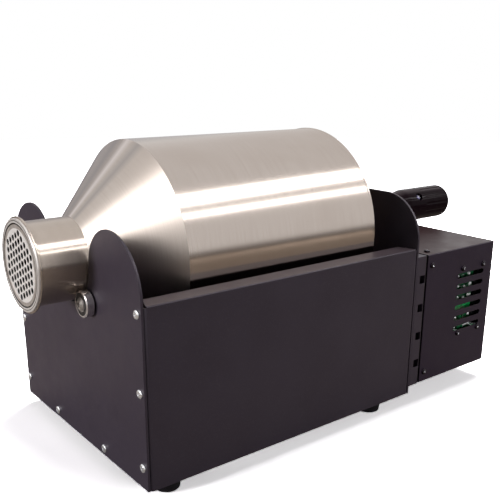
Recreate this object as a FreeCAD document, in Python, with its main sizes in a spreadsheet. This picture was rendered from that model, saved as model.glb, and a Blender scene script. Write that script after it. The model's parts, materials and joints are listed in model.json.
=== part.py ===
import FreeCAD, Part
import math
import os
import Sketcher

# Home coffee bean roaster: a stainless drum that turns over quartz heaters in a folded
# sheet-metal trough, driven by a geared motor in a control box on the right.
# Millimetres, +Z up. X runs along the drum, from the mouth to the handle, and Y from the
# front panel to the back panel. Inside this file X is counted from the outer face of the
# left end plate; centre_shift then moves everything, so that the origin lies on the table
# under the middle of the whole machine.

DRIVING_SIZES = (
    # the sheet-metal base
    ("base_length", 297.5, "between the outer faces of the end plates"),
    ("base_depth", 234, "front face to back face"),
    ("panel_height", 148, "front panel, from its lower edge to the top of its lip"),
    ("foot_height", 12, "table to the lower edge of the base"),
    ("plate_thickness", 2.2, "end plates"),
    ("sheet_thickness", 1.2, "folded panels, floor and box sheets"),
    ("fold_radius", 2, "outside radius of the folds"),
    ("ear_rise", 195.6, "top of the left end plate's ears above its lower edge"),
    ("ear_recess", 1, "edges of the left end plate behind the faces of the panels"),
    ("arch_rise", 196.5, "top of the right end plate above its lower edge"),
    ("arch_radius", 42, "top corners of the right end plate"),
    ("axis_rise", 160.3, "drum axis above the lower edge of the base"),
    ("lip_depth", 17.5, "lip folded inwards along the top of a panel"),
    ("lip_corner", 8, "length cut off the lip's inner corners"),
    ("slot_lead", 4, "chamfer at the top of the slot in the right end plate"),
    ("end_flange", 15, "flanges at the ends of a panel"),
    ("floor_flange", 16.5, "flanges at the ends of the floor"),
    # screws of the base
    ("screw_edge", 7, "screw columns from the front and back faces"),
    ("screw_low", 18.4, "lowest screw above the lower edge"),
    ("screw_middle", 79.8, "middle screw"),
    ("screw_high", 141.3, "top screw of the left end plate"),
    ("right_screw_high", 125, "top screw of the right end plate"),
    ("floor_screw_spread", 45.5, "floor screws from the middle"),
    ("floor_screw_rise", 7, "floor screws of the left end plate above the lower edge"),
    ("right_floor_screw_rise", 12.4, "floor screws of the right end plate"),
    ("screw_radius", 2, "panel screws"),
    ("screw_length", 7, "panel screws under the head"),
    ("screw_head_radius", 3.6, "panel screws"),
    ("screw_head_height", 1.9, "panel screws"),
    ("screw_clearance", 0.12, "radial play of a screw in its hole"),
    # feet
    ("foot_radius", 12, "rubber feet at the top"),
    ("foot_taper", 1.4, "how much a foot narrows towards the table"),
    ("foot_round", 2.2, "rounding of a foot's lower edge"),
    ("foot_bore", 5, "recess for the foot's screw"),
    ("foot_web", 4, "rubber left under the floor"),
    ("foot_inset", 17, "feet from the front and back faces"),
    ("left_foot_inset", 26.1, "left feet from the left end"),
    ("right_foot_inset", 39.2, "right feet from the right end"),
    # drum
    ("drum_radius", 92, "outside of the cylinder"),
    ("drum_wall", 1, "drum sheet"),
    ("drum_end_gap", 34.5, "drum's right rim to the outside of the right end plate"),
    ("cone_start", 3, "wide end of the neck behind the outside of the left end plate"),
    ("cone_length", 54.5, "cone between the neck and the cylinder"),
    ("neck_radius", 34, "outside of the neck"),
    ("mouth_reach", 40.9, "mouth in front of the left end plate"),
    ("notch_clearance", 1.8, "left end plate round the neck"),
    ("bead_width", 3.2, "rolled bead at the drum's right rim"),
    ("bead_depth", 1.2, "centre of the bead's arc below the drum's surface"),
    ("end_recess", 5, "end disc behind the drum's right rim"),
    ("end_flange_length", 4.6, "flange of the end disc"),
    ("vane_height", 22, "mixing vanes, measured inwards"),
    ("vane_lip", 6, "bent inner edge of a vane"),
    ("vane_count", 4, "mixing vanes"),
    ("vane_gap", 7, "vane ends to the ends of the cylinder"),
    ("seat_play", 0.03, "play of fixed round fits"),
    # mouth
    ("flange_radius", 38.5, "flange at the mouth"),
    ("flange_thickness", 1.6, "flange at the mouth"),
    ("cap_radius", 37.2, "face of the mesh cap"),
    ("cap_face", 1.6, "face of the mesh cap, along X"),
    ("cap_window", 31, "opening of the cap's face"),
    ("cap_step", 33.4, "outside of the sunk inner ring of the cap's face"),
    ("cap_sink", 0.7, "depth of that inner ring"),
    ("cap_spigot", 9, "spigot of the cap inside the neck"),
    ("cap_play", 0.35, "play of the spigot in the neck"),
    ("mesh_thickness", 0.5, "perforated disc"),
    ("mesh_edge_gap", 1, "groove left round the perforated disc, inside the cap's rim"),
    ("mesh_pitch", 6.6, "between the holes of the perforated disc"),
    ("mesh_hole_radius", 1.75, "holes of the perforated disc"),
    ("mesh_field", 28.6, "radius of the perforated field"),
    ("mesh_turn", 25, "direction of a row of holes, degrees from the horizontal"),
    # support rollers under the neck: ball bearings of 22 x 8 x 7 mm
    ("roller_radius", 11, "outer ring of a support bearing"),
    ("roller_width", 7, "support bearing"),
    ("roller_bore", 4, "radius of the bearing's bore"),
    ("roller_ring_wall", 1.7, "outer ring's wall"),
    ("roller_core_wall", 1.9, "inner ring's wall"),
    ("roller_stand_off", 0.6, "bearing to end plate"),
    ("roller_gap", 0.3, "roller to neck"),
    ("roller_angle", 49.6, "roller round the neck, degrees from straight down"),
    ("ring_chamfer", 0.7, "edges of the outer rings"),
    ("seal_gap", 0.3, "seal to inner ring"),
    ("seal_recess", 0.5, "seal behind the bearing's faces"),
    ("roller_head_radius", 5.4, "button head of the axle bolt"),
    ("roller_head_height", 2.2, "button head of the axle bolt"),
    ("socket_radius", 2.2, "hexagon socket of the axle bolt, across corners"),
    ("axle_thread_radius", 2.5, "thread of the axle bolt, behind its shoulder"),
    ("axle_nut_radius", 4.6, "nut of the axle bolt, across corners"),
    ("axle_nut_height", 2.7, "nut of the axle bolt"),
    ("axle_thread_end", 0.8, "thread standing out of the nut"),
    # shaft, shaft bearing and gear drive
    ("shaft_radius", 5, "drum shaft"),
    ("shaft_inside", 7, "drum shaft inside the end disc"),
    ("slot_play", 0.3, "bearing collar in the slot of the right end plate"),
    ("collar_groove_radius", 15, "groove of the bearing collar"),
    ("collar_radius", 17.5, "flanges of the bearing collar"),
    ("collar_width", 10.5, "bearing collar"),
    ("collar_lip", 1, "inner lip that keeps the bearing in its collar"),
    ("bearing_radius", 13, "shaft bearing, 26 x 10 x 8 mm"),
    ("bearing_width", 8, "shaft bearing"),
    ("bearing_ring_wall", 2, "outer ring of the shaft bearing"),
    ("bearing_core_wall", 2.4, "inner ring of the shaft bearing"),
    ("hub_radius", 20, "flange that carries the drum on its shaft"),
    ("hub_flange", 3, "thickness of that flange"),
    ("hub_boss_radius", 10, "boss of the hub"),
    ("hub_screw_circle", 15, "hub screws from the axis"),
    ("hub_screw_count", 4, "hub screws"),
    ("gear_module", 1.5, "drum gear and motor pinion"),
    ("drum_gear_teeth", 54, "drum gear"),
    ("pinion_teeth", 18, "motor pinion"),
    ("pressure_angle", 20, "of the teeth, degrees"),
    ("tooth_backlash", 0.3, "play between the teeth along the pitch circle"),
    ("gear_width", 8, "drum gear"),
    ("gear_inset", 24, "drum gear to the outside of the right end plate"),
    ("gear_boss_radius", 9, "boss of the drum gear"),
    ("gear_window_circle", 25, "lightening holes of the drum gear from the axis"),
    ("gear_window_radius", 7.5, "lightening holes of the drum gear"),
    ("gear_window_count", 6, "lightening holes of the drum gear"),
    ("pinion_overhang", 1, "pinion wider than the gear at each side"),
    ("motor_shaft_radius", 3, "output shaft of the gear motor"),
    ("running_play", 0.06, "radial play of a shaft in its bearing"),
    ("bush_radius", 6, "bush of the motor shaft in the right end plate"),
    ("bush_flange_radius", 9, "flange of that bush"),
    ("bush_flange", 1.5, "flange of that bush"),
    ("stop_collar_radius", 9, "collar that keeps the shaft in place"),
    ("stop_collar_width", 7, "collar that keeps the shaft in place"),
    ("side_play", 0.4, "play beside the shaft bearing"),
    # handle
    ("handle_reach", 175, "end of the handle beyond the right end plate"),
    ("grip_length", 112, "handle from end to end"),
    ("grip_body", 67, "thick part of the handle"),
    ("grip_radius", 18.4, "thick part of the handle"),
    ("grip_neck_radius", 11, "thin part of the handle"),
    ("grip_round", 7, "rounded end of the handle"),
    ("grip_collar", 12, "thin part of the handle before its taper"),
    ("flute_start", 24, "flutes from the end of the taper"),
    ("grip_bore_depth", 96, "shaft inside the handle"),
    ("flute_count", 12, "flutes along the handle"),
    ("flute_radius", 4, "flutes along the handle"),
    ("flute_depth", 0.5, "flutes along the handle"),
    ("grip_screw_place", 14, "handle screw from the end of the taper"),
    ("grip_screw_radius", 3.6, "head of the handle screw"),
    ("grip_recess_radius", 4.6, "recess round the handle screw"),
    ("grip_recess_floor", 12.5, "floor of that recess from the axis"),
    ("grip_screw_turn", 38, "handle screw above the front, degrees"),
    # heaters
    ("tube_radius", 6, "quartz heater tubes"),
    ("tube_spread", 38, "heater tubes from the middle"),
    ("tube_rise", 44, "heater tubes above the lower edge of the base"),
    ("tube_inset", 14, "ends of the tubes from the outside of the base"),
    ("tube_cap_radius", 8.5, "ceramic ends of the tubes"),
    ("tube_cap_length", 14, "ceramic ends of the tubes"),
    ("bracket_height", 22, "heater brackets above their fold"),
    ("bracket_half_width", 52, "heater brackets from the middle"),
    ("bracket_inset", 12, "upright of a heater bracket from the end plate"),
    ("bracket_foot", 16, "foot of a heater bracket on the reflector"),
    ("reflector_thickness", 0.8, "reflector sheet"),
    ("reflector_rise", 16, "floor of the reflector above the lower edge"),
    ("reflector_half_floor", 60, "floor of the reflector from the middle"),
    ("reflector_shoulder", 96, "top of the reflector's slope above the lower edge"),
    ("reflector_flange", 10, "flange of the reflector against the panels"),
    ("reflector_end_gap", 0.3, "reflector to end plates"),
    ("cutout_radius", 8, "thermal cut-out"),
    ("cutout_height", 7, "thermal cut-out"),
    # control box
    ("spacer_width", 12.6, "spacer frame between the base and the control box"),
    ("box_groove", 2.4, "groove between the spacer frame and the cover"),
    ("box_length", 106, "cover of the control box along X"),
    ("box_rise", 7.2, "control box above the lower edge of the base"),
    ("box_drop", 20.9, "top of the control box below the drum axis"),
    ("box_flange", 14, "flanges of the box's back plate"),
    ("box_flange_gap", 0.3, "those flanges to the inside of the cover"),
    ("head_room", 0.4, "screw heads to the openings round them"),
    ("spacer_flange", 20, "inward flanges of the spacer frame"),
    ("box_bolt_inset", 25, "bolts of the control box from the front and back faces"),
    ("box_bolt_margin", 9, "bolts of the control box from its top and bottom"),
    ("spacer_slot_place", 8, "middle of the spacer's openings from the end plate"),
    ("spacer_slot_height", 8, "openings in the spacer frame"),
    ("spacer_slot_width", 6.8, "openings in the spacer frame"),
    ("spacer_slot_pitch", 28.7, "openings in the spacer frame"),
    ("spacer_slot_count", 4, "openings in the spacer frame"),
    ("vent_length", 43, "vent slots of the cover"),
    ("vent_height", 5, "vent slots of the cover"),
    ("vent_pitch", 11.2, "vent slots of the cover"),
    ("vent_count", 6, "vent slots of the cover"),
    ("vent_drop", 29.6, "top vent slot below the top of the box"),
    ("vent_inset", 35.5, "middle of the vent slots from the right end of the box"),
    ("small_screw_radius", 1.5, "screws of the box and the circuit board"),
    ("small_screw_length", 4.5, "screws of the box and the circuit board"),
    ("small_head_radius", 3, "screws of the box and the circuit board"),
    ("small_head_height", 1.8, "screws of the box and the circuit board"),
    ("cover_screw_inset", 6.3, "front cover screws from the left edge of the cover"),
    ("top_screw_inset", 10, "top cover screws from the left edge of the cover"),
    ("top_screw_margin", 10.4, "top cover screws from the front and back faces"),
    ("cover_screw_margin", 11, "cover screws from the cover's top and bottom"),
    ("board_length", 46, "circuit board"),
    ("board_height", 78, "circuit board"),
    ("board_thickness", 1.6, "circuit board"),
    ("board_place", 33, "middle of the board from the right end of the box"),
    ("board_above_vents", 1.2, "middle of the board above the middle of the vent slots"),
    ("board_hole_x", 16.6, "board screws from its middle, level"),
    ("board_hole_z", 34.5, "board screws from its middle, upright"),
    ("sink_place", 16, "heat sink from the middle of the board"),
    ("sink_length", 6.6, "heat sink of the board"),
    ("sink_height", 56, "heat sink of the board"),
    ("sink_thickness", 5, "heat sink of the board"),
    ("standoff_radius", 3, "standoffs of the circuit board"),
    ("standoff_length", 9, "standoffs of the circuit board"),
    ("gearbox_radius", 25, "gearbox of the motor"),
    ("gearbox_length", 22, "gearbox of the motor"),
    ("gearbox_drop", 8, "gearbox axis below the output shaft"),
    ("motor_radius", 19, "motor behind the gearbox"),
    ("motor_length", 32, "motor behind the gearbox"),
    ("ear_spread", 31, "gearbox screws from the gearbox axis"),
    ("ear_radius_small", 5, "lugs of the gearbox"),
    ("ear_thickness", 3, "lugs of the gearbox"),
    ("shaft_in_gearbox", 12, "output shaft inside the gearbox"),
    # controls on the right end of the box
    ("knob_radius", 14, "heat knob"),
    ("knob_height", 15, "heat knob"),
    ("knob_inset", 75, "heat knob from the front face"),
    ("control_rise", 80.8, "knob and switch above the lower edge of the box"),
    ("knob_shaft_radius", 3, "spindle of the heat control"),
    ("knob_gap", 0.4, "knob to cover"),
    ("knob_scallops", 12, "hollows round the knob"),
    ("control_radius", 9, "heat control behind the cover"),
    ("control_depth", 10, "heat control behind the cover"),
    ("control_neck", 4.5, "neck of the heat control through the cover"),
    ("switch_inset", 87, "power switch from the back face"),
    ("switch_length", 27, "frame of the power switch, upright"),
    ("switch_width", 19, "frame of the power switch"),
    ("switch_frame", 1.8, "frame of the power switch in front of the cover"),
    ("switch_wall", 2, "wall of the power switch round its rocker"),
    ("switch_depth", 18, "power switch behind the cover"),
    ("switch_skin", 1, "sides of the power switch behind the cover"),
    ("rocker_gap", 0.4, "rocker to its frame"),
    ("rocker_tilt", 10, "rocker at rest, degrees"),
    ("rocker_pivot_depth", 3, "rocker's pivot behind the cover's face"),
    ("rocker_dip", 3.4, "middle of the rocker's face from its pivot"),
    ("rocker_rise", 5.2, "ends of the rocker's face from its pivot"),
    ("rocker_half", 10.3, "half the rocker's length"),
    ("rocker_back", 3, "rocker behind its pivot"),
    ("pivot_radius", 1.2, "pivots of the rocker"),
    ("pivot_length", 0.7, "pivots of the rocker in the frame's sides"),
    ("inlet_inset", 45, "mains inlet from the back face"),
    ("inlet_rise", 28.8, "mains inlet above the lower edge of the box"),
    ("inlet_width", 27, "mains inlet's body"),
    ("inlet_height", 20, "mains inlet's body"),
    ("inlet_flange_width", 48, "mains inlet's flange"),
    ("inlet_flange_height", 24, "mains inlet's flange"),
    ("inlet_screw_spread", 20, "mains inlet's screws from its middle"),
    ("inlet_depth", 20, "mains inlet behind the cover's face"),
    ("inlet_flange", 3, "mains inlet's flange in front of the cover"),
    ("inlet_wall", 1.8, "wall round the inlet's socket"),
    ("pin_width", 4, "pins of the inlet"),
    ("pin_thickness", 2, "pins of the inlet"),
    ("pin_spread", 7, "outer pins of the inlet from the middle"),
)

DERIVED_SIZES = (
    ("half_depth", "=base_depth / 2", "middle to front face"),
    ("base_z", "=foot_height", "lower edge of the base"),
    ("floor_top", "=base_z + sheet_thickness", "upper face of the floor"),
    ("panel_top", "=base_z + panel_height", "top of the lips"),
    ("ear_top", "=base_z + ear_rise", "top of the left end plate's ears"),
    ("arch_top", "=base_z + arch_rise", "top of the right end plate"),
    ("axis_z", "=base_z + axis_rise", "drum axis"),
    ("right_inside", "=base_length - plate_thickness", "inner face of the right end plate"),
    ("notch_radius", "=neck_radius + notch_clearance", "notch of the left end plate"),
    ("left_half", "=half_depth - ear_recess", "middle to the edges of the left end plate"),
    ("ear_inner_radius", "=ear_top - axis_z", "side of an ear towards the neck"),
    ("ear_outer_radius", "=left_half - notch_radius - ear_inner_radius",
     "side of an ear towards a panel"),
    ("screw_hole", "=screw_radius + screw_clearance", "holes of the panel screws"),
    ("small_hole", "=small_screw_radius + screw_clearance", "holes of the small screws"),
    ("cone_end", "=cone_start + cone_length", "seam of cone and cylinder"),
    ("drum_end", "=base_length - drum_end_gap", "drum's right rim"),
    ("drum_inside", "=drum_radius - drum_wall", "inside of the cylinder"),
    ("cone_wall", "=drum_wall * sqrt(1 + ((drum_radius - neck_radius) / cone_length)^2)",
     "cone's wall, measured along a radius"),
    ("disc_face", "=drum_end - end_recess", "outer face of the end disc"),
    ("neck_end", "=cap_face - mouth_reach", "outer face of the neck's flange"),
    ("roller_circle", "=neck_radius + roller_radius + roller_gap", "drum axis to roller axis"),
    ("roller_y", "=roller_circle * sin(roller_angle)", "rollers from the middle"),
    ("roller_z", "=axis_z - roller_circle * cos(roller_angle)", "height of the rollers"),
    ("gear_left", "=base_length - gear_inset", "left face of the drum gear"),
    ("mesh_distance", "=gear_module * (drum_gear_teeth + pinion_teeth) / 2", "gear axes"),
    ("motor_z", "=axis_z - mesh_distance", "axis of the motor shaft"),
    ("bearing_left", "=right_inside + plate_thickness / 2 - bearing_width / 2", "shaft bearing"),
    ("collar_left", "=right_inside + plate_thickness / 2 - collar_width / 2", "bearing collar"),
    ("handle_end", "=base_length + handle_reach", "end of the handle"),
    ("grip_start", "=handle_end - grip_length", "start of the handle"),
    ("grip_full", "=handle_end - grip_body", "end of the handle's taper"),
    ("grip_screw_x", "=grip_full + grip_screw_place", "handle screw"),
    ("tube_z", "=base_z + tube_rise", "heater tubes"),
    ("box_left", "=base_length + spacer_width", "right face of the spacer frame"),
    ("cover_left", "=box_left + box_groove", "left edge of the cover"),
    ("cover_right", "=cover_left + box_length", "right face of the cover"),
    ("box_z", "=base_z + box_rise", "lower face of the control box"),
    ("box_top", "=axis_z - box_drop", "top of the control box"),
    ("box_middle", "=(box_z + box_top) / 2", "middle of the control box"),
    ("box_bolt_y", "=half_depth - box_bolt_inset", "bolts of the control box from the middle"),
    ("spacer_slot_z", "=box_middle - (spacer_slot_count - 1) * spacer_slot_pitch / 2",
     "lowest opening of the spacer frame"),
    ("box_inner", "=half_depth - sheet_thickness", "inside of the cover's front from the middle"),
    ("gearbox_left", "=box_left + sheet_thickness", "gearbox on the back plate"),
    ("gearbox_z", "=motor_z - gearbox_drop", "axis of gearbox and motor"),
    ("vent_x", "=cover_right - vent_inset", "middle of the vent slots"),
    ("vent_z", "=box_top - vent_drop - (vent_count - 1) * vent_pitch", "lowest vent slot"),
    ("board_x", "=cover_right - board_place", "middle of the circuit board"),
    ("board_z", "=vent_z + (vent_count - 1) * vent_pitch / 2 + board_above_vents",
     "middle of the circuit board"),
    ("board_face", "=-half_depth + sheet_thickness + standoff_length", "its front face"),
    ("control_z", "=box_z + control_rise", "height of knob and switch"),
    ("inlet_z", "=box_z + inlet_rise", "height of the mains inlet"),
    ("knob_place", "=knob_inset - half_depth", "heat knob from the middle"),
    ("switch_place", "=half_depth - switch_inset", "power switch from the middle"),
    ("inlet_place", "=half_depth - inlet_inset", "mains inlet from the middle"),
    ("centre_shift", "=(mouth_reach - handle_end) / 2", "brings the origin to the middle"),
)

PLANES = {"x": "YZ_Plane", "y": "XZ_Plane", "z": "XY_Plane"}
HEAD_TURNS = {
    "left": FreeCAD.Rotation(FreeCAD.Vector(0, 1, 0), -90),
    "right": FreeCAD.Rotation(FreeCAD.Vector(0, 1, 0), 90),
    "front": FreeCAD.Rotation(FreeCAD.Vector(1, 0, 0), 90),
    "back": FreeCAD.Rotation(FreeCAD.Vector(1, 0, 0), -90),
    "up": FreeCAD.Rotation(),
    "down": FreeCAD.Rotation(FreeCAD.Vector(1, 0, 0), 180),
}

doc = FreeCAD.newDocument("coffee_roaster")
dims = doc.addObject("Spreadsheet::Sheet", "dims")
sub_parts = []


def fill_sheet():
    for row, (alias, value, note) in enumerate(DRIVING_SIZES + DERIVED_SIZES, start=1):
        dims.set(f"A{row}", note)
        dims.set(f"B{row}", str(value))
        dims.setAlias(f"B{row}", alias)
    doc.recompute()


def number(expression):
    """The present value of an expression on the sheet."""
    return float(dims.evalExpression(expression))


class Profile:
    """A sketch in one of its body's own planes, with every point tied to the sheet."""

    def __init__(self, body, axis, offset="0"):
        self.sketch = body.newObject("Sketcher::SketchObject", body.Name + "_sketch")
        role = PLANES[axis]
        plane = next(item for item in body.Origin.OriginFeatures if item.Role == role)
        self.sketch.AttachmentSupport = (plane, [""])
        self.sketch.MapMode = "FlatFace"
        sign = "-1" if axis == "y" else "1"
        self.sketch.setExpression("AttachmentOffset.Base.z", f"{sign} * ({offset})")

    def bind(self, kind, geometry, point, expression):
        value = number(expression)
        if kind == "Radius":
            index = self.sketch.addConstraint(Sketcher.Constraint(kind, geometry, value))
        else:
            index = self.sketch.addConstraint(
                Sketcher.Constraint(kind, -1, 1, geometry, point, value))
        self.sketch.setExpression(f"Constraints[{index}]", expression)

    def circle(self, across, up, radius):
        centre = FreeCAD.Vector(number(across), number(up), 0)
        ring = Part.Circle(centre, FreeCAD.Vector(0, 0, 1), number(radius))
        index = self.sketch.addGeometry(ring)
        self.bind("DistanceX", index, 3, across)
        self.bind("DistanceY", index, 3, up)
        self.bind("Radius", index, 0, radius)

    def outline(self, *corners):
        """A closed line through the corners, each (across, up).

        A corner with three more values starts an arc: which coordinate of the arc's centre
        is given ("across" or "up"), that coordinate, and 1 for left turning or -1.
        """
        points = [FreeCAD.Vector(number(c[0]), number(c[1]), 0) for c in corners]
        edges = []
        for place, corner in enumerate(corners):
            start = points[place]
            end = points[(place + 1) % len(points)]
            if len(corner) == 2:
                edges.append((self.sketch.addGeometry(Part.LineSegment(start, end)), 1, 2))
            else:
                edges.append(self.arc(start, end, *corner[2:]))
        for place, corner in enumerate(corners):
            before = edges[place - 1]
            edge = edges[place]
            self.sketch.addConstraint(
                Sketcher.Constraint("Coincident", before[0], before[2], edge[0], edge[1]))
            self.bind("DistanceX", edge[0], edge[1], corner[0])
            self.bind("DistanceY", edge[0], edge[1], corner[1])

    def arc(self, start, end, given, centre_value, turn):
        middle = (start + end) / 2
        chord = end - start
        value = number(centre_value)
        if given == "across":
            up = middle.y - (value - middle.x) * chord.x / chord.y
            centre = FreeCAD.Vector(value, up, 0)
        else:
            across = middle.x - (value - middle.y) * chord.y / chord.x
            centre = FreeCAD.Vector(across, value, 0)
        first, last = (start, end) if turn > 0 else (end, start)
        angles = [math.atan2(p.y - centre.y, p.x - centre.x) for p in (first, last)]
        circle = Part.Circle(centre, FreeCAD.Vector(0, 0, 1), (start - centre).Length)
        index = self.sketch.addGeometry(Part.ArcOfCircle(circle, angles[0], angles[1]))
        self.bind("DistanceX" if given == "across" else "DistanceY", index, 3, centre_value)
        return (index, 1, 2) if turn > 0 else (index, 2, 1)

    def rectangle(self, left, low, right, high):
        self.outline((left, low), (right, low), (right, high), (left, high))

    def slot(self, left, low, right, high):
        """A level slot with round ends."""
        bulge = f"(({high}) - ({low})) / 2"
        self.outline((f"({left}) + {bulge}", low), (f"({right}) - {bulge}", low,
                     "across", f"({right}) - {bulge}", 1),
                     (f"({right}) - {bulge}", high),
                     (f"({left}) + {bulge}", high, "across", f"({left}) + {bulge}", 1))


def new_body(label, x="0", y="0", z="0", kept=True):
    body = doc.addObject("PartDesign::Body", label)
    body.Label = label
    body.setExpression("Placement.Base.x", f"dims.centre_shift + {x}" if kept else x)
    body.setExpression("Placement.Base.y", y)
    body.setExpression("Placement.Base.z", z)
    if kept:
        sub_parts.append(body)
    return body


def add_slab(body, axis, start, thickness, draw):
    """Material from start along +axis, in the outline that draw makes."""
    profile = Profile(body, axis, start)
    draw(profile)
    slab = body.newObject("PartDesign::Pad", body.Name + "_pad")
    slab.Profile = profile.sketch
    slab.Reversed = axis == "y"
    slab.setExpression("Length", thickness)
    return slab


def cut_slab(body, axis, start, thickness, draw):
    """The same as add_slab, taking material away."""
    profile = Profile(body, axis, start)
    draw(profile)
    cut = body.newObject("PartDesign::Pocket", body.Name + "_cut")
    cut.Profile = profile.sketch
    cut.Reversed = axis != "y"
    cut.setExpression("Length", thickness)
    return cut


def revolve(body, about, *corners):
    """Turn an outline in the XZ plane about X ("x") or Z ("z")."""
    profile = Profile(body, "y")
    profile.outline(*corners)
    turned = body.newObject("PartDesign::Revolution", body.Name + "_turned")
    turned.Profile = profile.sketch
    turned.ReferenceAxis = (profile.sketch, ["H_Axis" if about == "x" else "V_Axis"])
    turned.Angle = 360
    return turned


def polar(body, feature, count):
    """Repeat a feature round the body's own X axis."""
    axis = next(item for item in body.Origin.OriginFeatures if item.Role == "X_Axis")
    pattern = body.newObject("PartDesign::PolarPattern", body.Name + "_round")
    pattern.Originals = [feature]
    pattern.Axis = (axis, [""])
    pattern.Angle = 360
    pattern.setExpression("Occurrences", count)
    body.Tip = pattern
    return pattern


def upwards(body, feature, count, pitch):
    """Repeat a feature upwards, a pitch apart."""
    axis = next(item for item in body.Origin.OriginFeatures if item.Role == "Z_Axis")
    pattern = body.newObject("PartDesign::LinearPattern", body.Name + "_rows")
    pattern.Originals = [feature]
    pattern.Direction = (axis, [""])
    pattern.setExpression("Occurrences", count)
    pattern.setExpression("Length", f"{pitch} * ({count} - 1)")
    body.Tip = pattern
    return pattern


def round_edges(body, radius, wanted):
    """Fillet the edges whose end points pass the test."""
    doc.recompute()
    base = body.Tip
    names = []
    for place, edge in enumerate(base.Shape.Edges, start=1):
        if wanted([vertex.Point for vertex in edge.Vertexes]):
            names.append(f"Edge{place}")
    fillet = body.newObject("PartDesign::Fillet", body.Name + "_fillet")
    fillet.Base = (base, names)
    fillet.setExpression("Radius", radius)
    return fillet


def copies(label, source, spots):
    """One node of several equal solids; a spot is (x, y, z, way the head points)."""
    links = []
    for x, y, z, way in spots:
        link = doc.addObject("App::Link", label + "_copy")
        link.LinkedObject = source
        link.Placement = FreeCAD.Placement(FreeCAD.Vector(), HEAD_TURNS[way])
        link.setExpression("Placement.Base.x", f"dims.centre_shift + {x}")
        link.setExpression("Placement.Base.y", y)
        link.setExpression("Placement.Base.z", z)
        links.append(link)
    group = doc.addObject("Part::Compound", label)
    group.Label = label
    group.Links = links
    sub_parts.append(group)
    return group


# ---------------------------------------------------------------- sheet-metal base

def panel_screw_spots(side):
    """(y, z) of the screws of one end plate: two columns and a pair at the floor."""
    right = side == "right"
    top = "dims.right_screw_high" if right else "dims.screw_high"
    low = "dims.right_floor_screw_rise" if right else "dims.floor_screw_rise"
    spots = []
    for y in ("dims.half_depth - dims.screw_edge", "dims.screw_edge - dims.half_depth"):
        for rise in ("dims.screw_low", "dims.screw_middle", top):
            spots.append((y, f"dims.base_z + {rise}"))
    for y in ("dims.floor_screw_spread", "-dims.floor_screw_spread"):
        spots.append((y, f"dims.base_z + {low}"))
    return spots


def box_bolt_spots():
    for y in ("dims.box_bolt_y", "-dims.box_bolt_y"):
        for z in ("dims.box_z + dims.box_bolt_margin", "dims.box_top - dims.box_bolt_margin"):
            yield y, z


def drill_end_plate(profile, side):
    for y, z in panel_screw_spots(side):
        profile.circle(y, z, "dims.screw_hole")


def make_left_end_plate():
    """Two round ears with a notch between them, in which the neck of the drum lies."""
    body = new_body("left_end_plate")
    shoulder = "dims.ear_top - dims.ear_outer_radius"
    crown = "(dims.left_half - dims.ear_outer_radius)"

    def draw(profile):
        profile.outline(
            ("-dims.left_half", "dims.base_z"),
            ("dims.left_half", "dims.base_z"),
            ("dims.left_half", shoulder, "across", crown, 1),
            (crown, "dims.ear_top", "across", crown, 1),
            ("dims.notch_radius", "dims.axis_z", "up", "dims.axis_z", -1),
            ("-dims.notch_radius", "dims.axis_z", "across", f"-{crown}", 1),
            (f"-{crown}", "dims.ear_top", "across", f"-{crown}", 1),
            ("-dims.left_half", shoulder))
        drill_end_plate(profile, "left")
        for side in ("", "-"):
            profile.circle(f"{side}dims.roller_y", "dims.roller_z",
                           "dims.axle_thread_radius + dims.screw_clearance")
    add_slab(body, "x", "0", "dims.plate_thickness", draw)


def make_right_end_plate():
    """Arched plate with the slot that takes the shaft bearing from above."""
    body = new_body("right_end_plate")
    slot = "dims.collar_groove_radius + dims.slot_play"
    lead = f"({slot} + dims.slot_lead)"

    def draw(profile):
        profile.outline(
            ("-dims.half_depth", "dims.base_z"),
            ("dims.half_depth", "dims.base_z"),
            ("dims.half_depth", "dims.arch_top - dims.arch_radius",
             "across", "dims.half_depth - dims.arch_radius", 1),
            ("dims.half_depth - dims.arch_radius", "dims.arch_top"),
            (lead, "dims.arch_top"),
            (slot, "dims.arch_top - dims.slot_lead"),
            (slot, "dims.axis_z", "up", "dims.axis_z", -1),
            (f"-({slot})", "dims.axis_z"),
            (f"-({slot})", "dims.arch_top - dims.slot_lead"),
            (f"-{lead}", "dims.arch_top"),
            ("dims.arch_radius - dims.half_depth", "dims.arch_top",
             "across", "dims.arch_radius - dims.half_depth", 1),
            ("-dims.half_depth", "dims.arch_top - dims.arch_radius"))
        drill_end_plate(profile, "right")
        for y, z in box_bolt_spots():
            profile.circle(y, z, "dims.screw_radius + dims.seat_play")
        profile.circle("0", "dims.motor_z", "dims.bush_radius + dims.seat_play")
    add_slab(body, "x", "dims.right_inside", "dims.plate_thickness", draw)


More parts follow.
